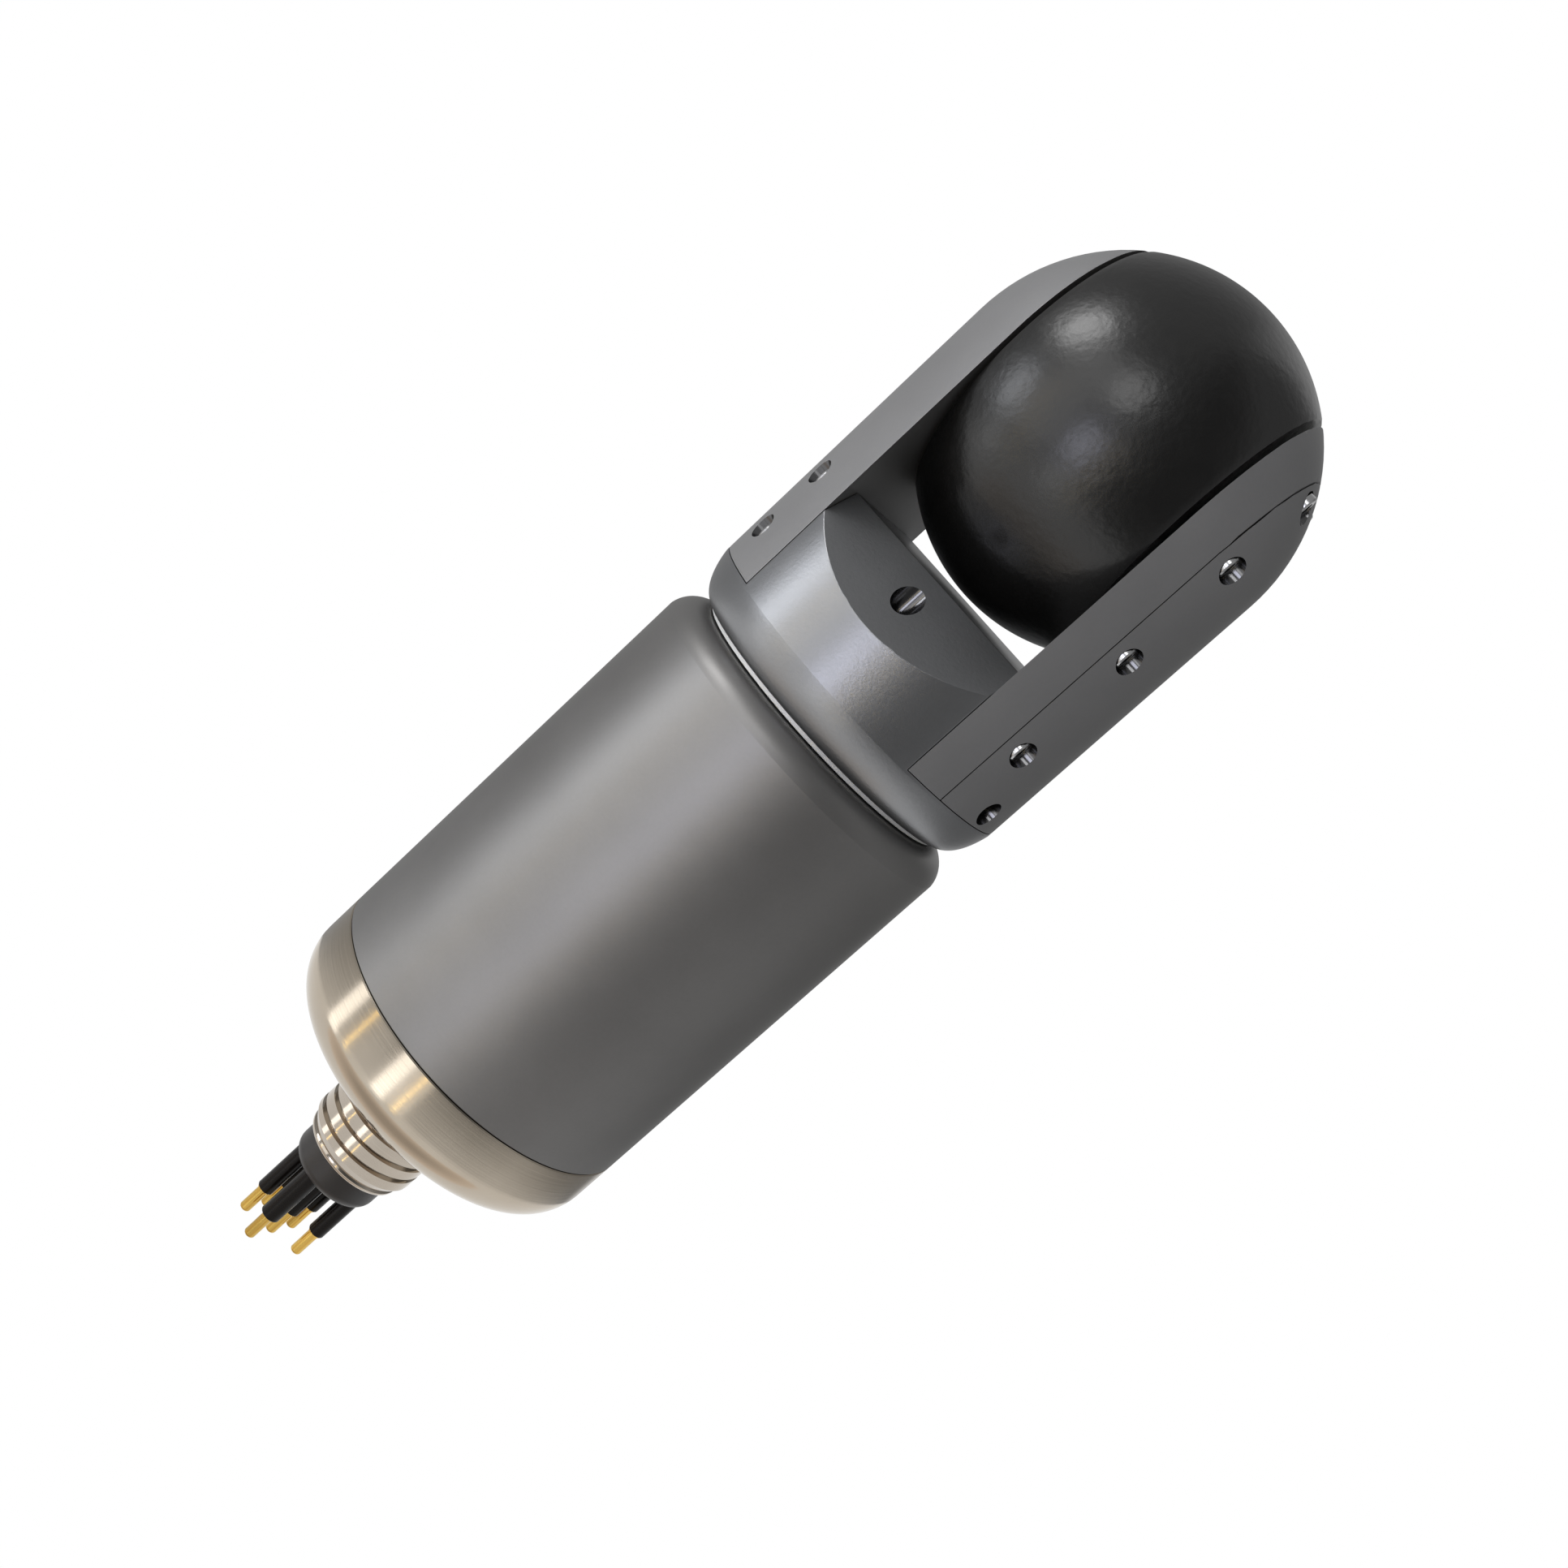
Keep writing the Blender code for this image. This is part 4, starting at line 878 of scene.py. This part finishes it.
def make_screw(name, length):
    screw = turned(name, screw_profile(length), SCREW_STEPS)
    screw.data.materials.append(screw_steel)
    bpy.ops.object.select_all(action="DESELECT")
    middle = HEAD_HEIGHT - SOCKET_DEPTH + LONG_BAR / 2
    bpy.ops.mesh.primitive_cylinder_add(vertices=6, radius=SOCKET, depth=LONG_BAR)
    tool = bpy.context.object
    # The socket's dark colour is painted shade.
    tool.data.materials.append(socket_painted_shade)
    return cut(screw, settle(tool, (0.0, 0.0, middle)))


def hole_tool(depth):
    """A stepped tool about Z: the counterbore above zero and the screw's hole below."""
    profile = [(0.0, LONG_BAR), (COUNTERBORE, LONG_BAR), (COUNTERBORE, 0.0)]
    profile += [(HOLE, 0.0), (HOLE, -depth), (0.0, -depth)]
    tool = turned("hole_tool", profile, SCREW_STEPS)
    # Its darker colour on the walls it cuts is painted shade inside the hole.
    tool.data.materials.append(bored_grey_painted_shade)
    return tool


# %% Rows of screws
def side_of(node):
    """The outward side of a cross screw, its seat's middle and its length under the head."""
    low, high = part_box(node)
    middle = (low + high) / 2
    right = middle.x > 0
    seat = high.x - HEAD_HEIGHT if right else low.x + HEAD_HEIGHT
    return right, Vector((seat, middle.y, middle.z)), high.x - low.x - HEAD_HEIGHT


def cross_holes(nodes, deeper=CLEARANCE):
    """The joined tools for a row of cross screws."""
    tools = []
    for node in nodes:
        right, seat, length = side_of(node)
        seat.x += -deeper if right else deeper
        tools.append(lay_along_x(hole_tool(length + HOLE_OVER), seat, flip=not right))
    return join(tools)


def cross_screws(nodes):
    """Screws that stand in for a row of cross screws."""
    for node in nodes:
        right, seat, length = side_of(node)
        screw = lay_along_x(make_screw("cap_" + node, length), seat, flip=not right)
        dress(screw, screw_steel, "pan_head", "fastener_steel", node)


cross_screws(COVER_SCREWS + LEFT_SCREWS)
for node in THROAT_SCREWS:
    low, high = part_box(node)
    screw = make_screw("cap_" + node, high.z - low.z - HEAD_HEIGHT)
    settle(screw, middle_of(node, high.z - HEAD_HEIGHT))
    dress(screw, screw_steel, "pan_head", "fastener_steel", node)

# %% [markdown]
# ## The fork
#
# The head is one round column with a domed top that was milled into a fork. So each arm starts as the
# same turned column, and bisect planes take the slice that belongs to it, with the cut filled. Then the
# holes are cut, and all edges are broken slightly, as they are before anodising.

# %% Column slices
EDGE = 0.12 * MM
OVER = 1.0 * MM
FAR = 2 * RADIUS
BAR_STEPS = 64
FOOT_RINGS = 14
DOME_STEPS = 28


def column_slice(name, x_low, x_high):
    foot = left_low.z
    profile = [(0.0, foot)]
    profile += [(RADIUS, foot + (TILT_Z - foot) * part / FOOT_RINGS) for part in range(FOOT_RINGS)]
    profile += arc(0.0, TILT_Z, RADIUS, 0.0, 90.0, DOME_STEPS)[:-1]
    profile += [(0.0, TILT_Z + RADIUS)]
    piece = turned(name, profile)
    enter(piece)
    bpy.ops.mesh.bisect(plane_co=(x_high, 0, 0), plane_no=(1, 0, 0), use_fill=True, clear_outer=True)
    bpy.ops.mesh.select_all(action="SELECT")
    bpy.ops.mesh.bisect(plane_co=(x_low, 0, 0), plane_no=(-1, 0, 0), use_fill=True, clear_outer=True)
    leave()
    piece.data.materials.append(arm_grey)
    return break_edges(tidy(piece), EDGE)


def bar_along_x(radius, x_low, x_high, z):
    """A plain round bar along X, used as a cutting tool."""
    bar = turned("bar", [(0.0, x_high), (radius, x_high), (radius, x_low), (0.0, x_low)], BAR_STEPS)
    return lay_along_x(bar, (0.0, 0.0, z))


# %% Left arm
POCKET = 8.3 * MM


def make_left_arm():
    arm = column_slice("arm_left", -FAR, left_high.x)
    cut(arm, cross_holes(LEFT_SCREWS))
    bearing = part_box("tilt_bearing_left")[0].x - CLEARANCE
    return cut(arm, bar_along_x(POCKET, bearing, left_high.x + OVER, TILT_Z))


dress(make_left_arm(), arm_grey, "pan_head", "head_anodised", "left_arm")

# %% Right arm and drive cover
DRIVE_HOLE = 3.0 * MM
SHAFT_HOLE = 4.6 * MM
CAVITY_TOP = 10.0 * MM
CAVITY_LOW = 6.4 * MM
CAVITY_DEPTH = 4.0 * MM
CAVITY_STEPS = 24


def make_right_arm():
    arm = column_slice("arm_right", right_low.x, right_high.x)
    cut(arm, cross_holes(COVER_SCREWS, deeper=0.0))
    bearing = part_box("tilt_bearing_right")[1].x + CLEARANCE
    cut(arm, bar_along_x(POCKET, right_low.x - OVER, bearing, TILT_Z))
    cut(arm, bar_along_x(SHAFT_HOLE, right_low.x - OVER, right_high.x + OVER, TILT_Z))
    return cut(arm, bar_along_x(DRIVE_HOLE, right_low.x - OVER, right_high.x + OVER, MOTOR_Z))


def make_cavity_tool():
    """The belt's room: a rounded slot between the two pulleys."""
    lean = math.degrees(math.asin((CAVITY_TOP - CAVITY_LOW) / (TILT_Z - MOTOR_Z)))
    outline = arc(0.0, TILT_Z, CAVITY_TOP, -lean, 180.0 + lean, CAVITY_STEPS)
    outline += arc(0.0, MOTOR_Z, CAVITY_LOW, 180.0 + lean, 360.0 - lean, CAVITY_STEPS)
    tool = draw("cavity_tool", outline)
    enter(tool)
    bpy.ops.mesh.edge_face_add()
    bpy.ops.mesh.extrude_region_move(TRANSFORM_OT_translate={"value": (0.0, CAVITY_DEPTH + OVER, 0.0)})
    leave()
    tidy(tool)
    tool.rotation_euler = (0.0, 0.0, -math.pi / 2)
    return settle(tool, (cover_low.x - OVER, 0.0, 0.0))


def make_cover():
    cover = column_slice("cover_right", cover_low.x, FAR)
    cut(cover, make_cavity_tool())
    return cut(cover, cross_holes(COVER_SCREWS))


dress(make_right_arm(), arm_grey, "pan_head", "head_anodised", "right_arm")
dress(make_cover(), arm_grey, "pan_head", "head_anodised", "drive_cover")

# %% [markdown]
# ## The head base
#
# The base carries the fork and houses the tilt motor. Its lower edge is round and ends in a fine line, its
# throat slopes away front and back, and flats on both sides seat the arms. It is turned whole, two bisect
# planes cut the slopes and blocks cut the flats, as a mill would. Its foot stands a fifth of a millimetre
# high, so that the bright rim shows in the gap.

# %% Head base
BASE_LOWER = 28.0 * MM
BASE_ROUND_HEIGHT = 7.4 * MM
BASE_ROUND_SWEEP = math.radians(70.0)
BASE_LIFT = 0.2 * MM
BASE_STEPS = 16
BASE_RINGS = 6
BLOCK_TOP = 4 * FAR
THROAT_CHAMFER = 11.8 * MM
FLAT_GAP = 0.12 * MM
RECESS = 27.6 * MM
MOTOR_BORE = 8.3 * MM


def make_base():
    recess = shaft_high.z + CLEARANCE
    foot = base_low.z + BASE_LIFT
    profile = [(0.0, recess), (RECESS, recess), (RECESS, foot)]
    spread = (RADIUS - BASE_LOWER) / math.sin(BASE_ROUND_SWEEP)
    rise = BASE_ROUND_HEIGHT / (1.0 - math.cos(BASE_ROUND_SWEEP))
    for step in range(BASE_STEPS + 1):
        angle = BASE_ROUND_SWEEP * step / BASE_STEPS
        profile.append((BASE_LOWER + spread * math.sin(angle), foot + rise * (1.0 - math.cos(angle))))
    wall_low = foot + BASE_ROUND_HEIGHT
    profile.append((RADIUS, wall_low + LINE))
    wall = base_high.z - wall_low
    profile += [(RADIUS, wall_low + wall * part / BASE_RINGS) for part in range(1, BASE_RINGS + 1)]
    profile += [(0.0, base_high.z)]
    base = turned("fork_base", profile)
    ridge = RADIUS - THROAT_CHAMFER
    for way in (-1.0, 1.0):
        enter(base)
        edge = (0.0, way * ridge, base_high.z)
        bpy.ops.mesh.bisect(plane_co=edge, plane_no=(0.0, way, 1.0), use_fill=True, clear_outer=True)
        leave()
    tidy(base)
    base.data.materials.append(base_grey)
    seat = left_low.z - FLAT_GAP
    cut(base, block((-FAR, -FAR, seat), (left_high.x + FLAT_GAP, FAR, BLOCK_TOP)))
    cut(base, block((right_low.x - FLAT_GAP, -FAR, seat), (FAR, FAR, BLOCK_TOP)))
    break_edges(base, EDGE)
    cut(base, bar_along_x(MOTOR_BORE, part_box("tilt_motor")[0].x - CLEARANCE, right_low.x + OVER, MOTOR_Z))
    tools = []
    for node in THROAT_SCREWS:
        low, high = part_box(node)
        place = middle_of(node, high.z - HEAD_HEIGHT - CLEARANCE)
        tools.append(settle(hole_tool(high.z - low.z), place))
    return cut(base, join(tools))


dress(make_base(), base_grey, "pan_head", "head_anodised", "head_base")

# %% [markdown]
# ## The transducer ball
#
# The ball fills the fork: a sphere of the column's own radius with two flat sides, spun about the tilt
# axis. Its edges at the flats are slightly round, as a casting's are, and two bores take its shafts.

# %% Transducer ball
BALL_STEPS = 192
BALL_ARC = 48
BALL_EDGE = 0.5 * MM
BALL_POCKET = 10.3 * MM
BALL_POCKET_DEPTH = 22.5 * MM
BALL_BORE = 4.3 * MM
BALL_BORE_DEPTH = 10.5 * MM


def make_ball():
    flat = ball_high.x
    shoulder = math.degrees(math.asin((flat - BALL_EDGE) / RADIUS))
    rim = RADIUS * math.cos(math.radians(shoulder))
    pocket = flat - BALL_POCKET_DEPTH
    profile = [(0.0, pocket), (BALL_POCKET, pocket), (BALL_POCKET, flat)]
    profile += [(rim - BALL_EDGE, flat)]
    profile += arc(0.0, 0.0, RADIUS, shoulder, -shoulder, BALL_ARC)
    profile += [(rim - BALL_EDGE, -flat), (BALL_BORE, -flat)]
    profile += [(BALL_BORE, BALL_BORE_DEPTH - flat), (0.0, BALL_BORE_DEPTH - flat)]
    return lay_along_x(turned("ball_casting", profile, BALL_STEPS), (0.0, 0.0, TILT_Z))


dress(make_ball(), ball_black, "ball", "black_moulding", "transducer_ball")

# %% [markdown]
# ## The hidden pieces
#
# Motors, bearings, seals, belt and board keep the frame's own shapes, because nothing shows them. Each
# still gets the finish of its real material.

# %% Inner pieces
INNER = {
    seal_black: "end_cap_o_ring connector_o_ring shaft_seal cover_seal drive_belt"
    " tilt_seal_left tilt_seal_right",
    motor_dark: "pan_motor pan_rotor tilt_motor",
    board_green: "main_board",
    element_buff: "transducer_element",
    plastic_black: "slip_ring_stator motor_pulley tilt_pulley",
    pin_gold: "slip_ring_rotor",
    screw_steel: "connector_nut retaining_ring pan_bearing_lower bearing_spacer pan_bearing_upper"
    " tilt_bearing_left tilt_bearing_right tilt_shaft_left tilt_shaft_right",
}
for material, names in INNER.items():
    for name in names.split():
        node = frame["nodes"][name]
        node.data.materials.clear()
        node.data.materials.append(material)
print("inner pieces", sum(len(names.split()) for names in INNER.values()))

# %% [markdown]
# ## Stage and light
#
# The picture's ground is plain white, so the floor and the world show white to the camera and in
# reflections. Metal needs something darker to mirror, or it looks like chalk: a grey tent stands round
# the sonar, unseen by the camera, paler on the left. Two columns of soft boxes on the left, each with a
# high, a middle and a low window, draw the streaks on the steel and the band along the grey. Two curtains
# fill between them, and two thin warm strips draw the yellow lines. A small warm-grey card below gives
# the steel's round underside something to mirror.

# %% Floor
FLOOR_Z = -0.53
FLOOR_SIZE = 8.0
FLOOR_TONE = (0.8, 0.8, 0.8, 1.0)
WHITE = (1.0, 1.0, 1.0, 1.0)


def seen_rays(tree):
    """One where a ray comes from the camera, from gloss or through glass, and zero elsewhere."""
    path = tree.nodes.new("ShaderNodeLightPath")
    names = ("Is Camera Ray", "Is Transmission Ray", "Is Glossy Ray")
    camera_ray, glass_ray, gloss_ray = (path.outputs[name] for name in names)
    first = add(tree, "ShaderNodeMath", {"operation": "MAXIMUM"}, i0=camera_ray, i1=glass_ray)
    return add(tree, "ShaderNodeMath", {"operation": "MAXIMUM"}, i0=first.outputs[0], i1=gloss_ray).outputs[0]


def stage_material(name):
    """A material without a shader yet, with its tree and the socket that takes its surface."""
    material = bpy.data.materials.new(name)
    material.use_nodes = True
    tree = material.node_tree
    tree.nodes.remove(tree.nodes["Principled BSDF"])
    return material, tree, tree.nodes["Material Output"].inputs["Surface"]


bpy.ops.object.select_all(action="DESELECT")
bpy.ops.mesh.primitive_plane_add(size=FLOOR_SIZE, location=(0.0, 0.0, FLOOR_Z))
floor = bpy.context.object
floor.name = "floor"
floor_paint, paint, surface = stage_material("matt_white_floor")
matt = add(paint, "ShaderNodeBsdfDiffuse", Color=FLOOR_TONE)
white = add(paint, "ShaderNodeEmission", Color=WHITE, Strength=1.0)
mixed = add(paint, "ShaderNodeMixShader", i0=seen_rays(paint), i1=matt.outputs[0], i2=white.outputs[0])
paint.links.new(mixed.outputs[0], surface)
floor.data.materials.append(floor_paint)
floor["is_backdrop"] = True
print("floor at", FLOOR_Z, "m")

# %% World
ROOM_GREY = "#9A9A9C"

world = bpy.data.worlds.new("studio")
bpy.context.scene.world = world
world.use_nodes = True
sky = world.node_tree
room = sky.nodes["Background"]
room.inputs["Color"].default_value = linear(ROOM_GREY)
white = add(sky, "ShaderNodeBackground", Color=WHITE, Strength=1.0)
mixed = add(sky, "ShaderNodeMixShader", i0=seen_rays(sky), i1=room.outputs[0], i2=white.outputs[0])
sky.links.new(mixed.outputs[0], sky.nodes["World Output"].inputs["Surface"])
print("world", world.name)

# %% Grey tent
TENT_RADIUS = 1.1
TENT_SEGMENTS = 48
TENT_RINGS = 24
TENT_GAP = 0.02
TENT_STOPS = (
    (-180.0, 0.7),
    (-165.0, 0.32),
    (-110.0, 0.34),
    (-60.0, 0.42),
    (-10.0, 0.38),
    (28.0, 0.12),
    (56.0, 0.13),
    (89.0, 0.42),
    (125.0, 0.24),
    (158.0, 0.22),
    (172.0, 0.7),
)


def make_tent():
    """A sphere round the sonar, open over the floor, that only reflections and soft light see."""
    bpy.ops.object.select_all(action="DESELECT")
    bpy.ops.mesh.primitive_uv_sphere_add(
        segments=TENT_SEGMENTS, ring_count=TENT_RINGS, radius=TENT_RADIUS
    )
    tent = bpy.context.object
    tent.name = "tent"
    enter(tent)
    bottom = (0.0, 0.0, FLOOR_Z + TENT_GAP)
    bpy.ops.mesh.bisect(plane_co=bottom, plane_no=(0, 0, -1), clear_outer=True)
    leave()
    tent.visible_camera = False
    tent.visible_shadow = False
    return tent


def tent_cloth():
    """Grey that glows softly, paler towards the left of the camera."""
    cloth, tree, surface = stage_material("grey_tent_cloth")
    where = tree.nodes.new("ShaderNodeTexCoord").outputs["Object"]
    apart = add(tree, "ShaderNodeSeparateXYZ", Vector=where)
    front = add(tree, "ShaderNodeMath", {"operation": "MULTIPLY"}, i0=apart.outputs["Y"], i1=-1.0)
    angle = add(tree, "ShaderNodeMath", {"operation": "ARCTAN2"}, i0=apart.outputs["X"], i1=front.outputs[0])
    share = add(tree, "ShaderNodeMapRange", Value=angle.outputs[0])
    share.inputs["From Min"].default_value = -math.pi
    share.inputs["From Max"].default_value = math.pi
    tone = add(tree, "ShaderNodeValToRGB", Fac=share.outputs["Result"])
    ramp = tone.color_ramp.elements
    while len(ramp) < len(TENT_STOPS):
        ramp.new(0.5)
    for stop, (azimuth, level) in zip(ramp, TENT_STOPS):
        stop.position = (azimuth + 180.0) / 360.0
        stop.color = (level, level, level, 1.0)
    glow = add(tree, "ShaderNodeEmission", Color=tone.outputs["Color"], Strength=1.0)
    tree.links.new(glow.outputs[0], surface)
    return cloth


tent = make_tent()
tent.data.materials.append(tent_cloth())
tent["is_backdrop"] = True
print("tent with", len(tent.data.polygons), "faces")

# %% Grey card
CARD_SIDES = 64
CARD_RADIUS = 0.105
CARD_AHEAD = 0.115
CARD_Z = -0.25
CARD_WIDE = 2.6
CARD_LEVEL = 0.55
CARD_EDGE = 0.3
CARD_COLOUR = "#FFF2E6"


def make_card():
    """An oval card below the sonar and towards the camera, seen only in gloss."""
    bpy.ops.object.select_all(action="DESELECT")
    place = Vector((math.sin(CAMERA_AZIMUTH), -math.cos(CAMERA_AZIMUTH), 0.0)) * CARD_AHEAD
    place.z = CARD_Z
    bpy.ops.mesh.primitive_circle_add(
        vertices=CARD_SIDES, radius=CARD_RADIUS, fill_type="NGON", location=place
    )
    card = bpy.context.object
    card.name = "card"
    card.rotation_euler.z = CAMERA_AZIMUTH
    card.scale.x = CARD_WIDE
    card.visible_camera = False
    card.visible_diffuse = False
    card.visible_shadow = False
    return card


def card_face():
    """Grey in the middle, which fades to the floor's white at the rim."""
    face, tree, surface = stage_material("grey_card")
    where = tree.nodes.new("ShaderNodeTexCoord").outputs["Object"]
    out = add(tree, "ShaderNodeVectorMath", {"operation": "LENGTH"}, i0=where)
    fade = add(tree, "ShaderNodeMapRange", Value=out.outputs["Value"])
    fade.inputs["From Min"].default_value = CARD_RADIUS * CARD_EDGE
    fade.inputs["From Max"].default_value = CARD_RADIUS
    fade.inputs["To Min"].default_value = CARD_LEVEL
    fade.inputs["To Max"].default_value = 1.0
    glow = add(tree, "ShaderNodeEmission", Color=linear(CARD_COLOUR), Strength=fade.outputs["Result"])
    tree.links.new(glow.outputs[0], surface)
    return face


card = make_card()
card.data.materials.append(card_face())
card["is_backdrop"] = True
print("card", round(CARD_RADIUS, 2), "m")

# %% Soft boxes
TARGET = Vector((0.0, 0.0, 45 * MM))
LAMP_DISTANCE = 0.9
FACING = math.degrees(CAMERA_AZIMUTH)


def soft_box(name, azimuth, elevation, wide, tall, radiance, colour="#FFFFFF"):
    """An area lamp aimed at the sonar, by angles in degrees from the camera's side. Its power follows
    from the brightness of its face."""
    a = math.radians(azimuth + FACING)
    e = math.radians(elevation)
    way = Vector((math.sin(a) * math.cos(e), -math.cos(a) * math.cos(e), math.sin(e)))
    width = 2 * LAMP_DISTANCE * math.tan(math.radians(wide / 2))
    height = 2 * LAMP_DISTANCE * math.tan(math.radians(tall / 2))
    data = bpy.data.lights.new(name, "AREA")
    data.shape = "RECTANGLE"
    data.size = width
    data.size_y = height
    data.energy = radiance * math.pi * width * height
    data.color = linear(colour)[:3]
    lamp = bpy.data.objects.new(name, data)
    bpy.context.scene.collection.objects.link(lamp)
    lamp.location = TARGET + way * LAMP_DISTANCE
    lamp.rotation_mode = "QUATERNION"
    lamp.rotation_quaternion = (-way).to_track_quat("-Z", "Y")
    lamp.visible_camera = False
    return lamp


soft_box("far_window_high", -73.0, 30.0, 16.0, 19.0, 9.0)
soft_box("far_window_middle", -71.0, -8.0, 14.0, 22.0, 5.4, "#F6F9FF")
soft_box("far_window_low", -71.0, -31.0, 10.0, 14.0, 1.7)
soft_box("near_window_high", -22.0, 28.0, 14.0, 19.0, 4.0)
soft_box("near_window_middle", -18.0, -8.0, 12.0, 22.0, 5.2, "#ECEEFF")
soft_box("near_window_low", -18.0, -31.0, 9.0, 14.0, 1.9)
soft_box("curtain", -45.0, 4.0, 26.0, 60.0, 1.15)
soft_box("near_curtain", -5.0, -10.0, 16.0, 44.0, 0.6)
soft_box("far_warm_strip", -53.0, -18.0, 1.2, 50.0, 4.0, "#FFD870")
soft_box("near_warm_strip", -3.0, -18.0, 1.2, 50.0, 4.0, "#FFD870")
print("soft boxes placed")

# %% [markdown]
# ## Finish
#
# The box of the dressed sonar is measured.

# %% Measure the box
low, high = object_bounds()
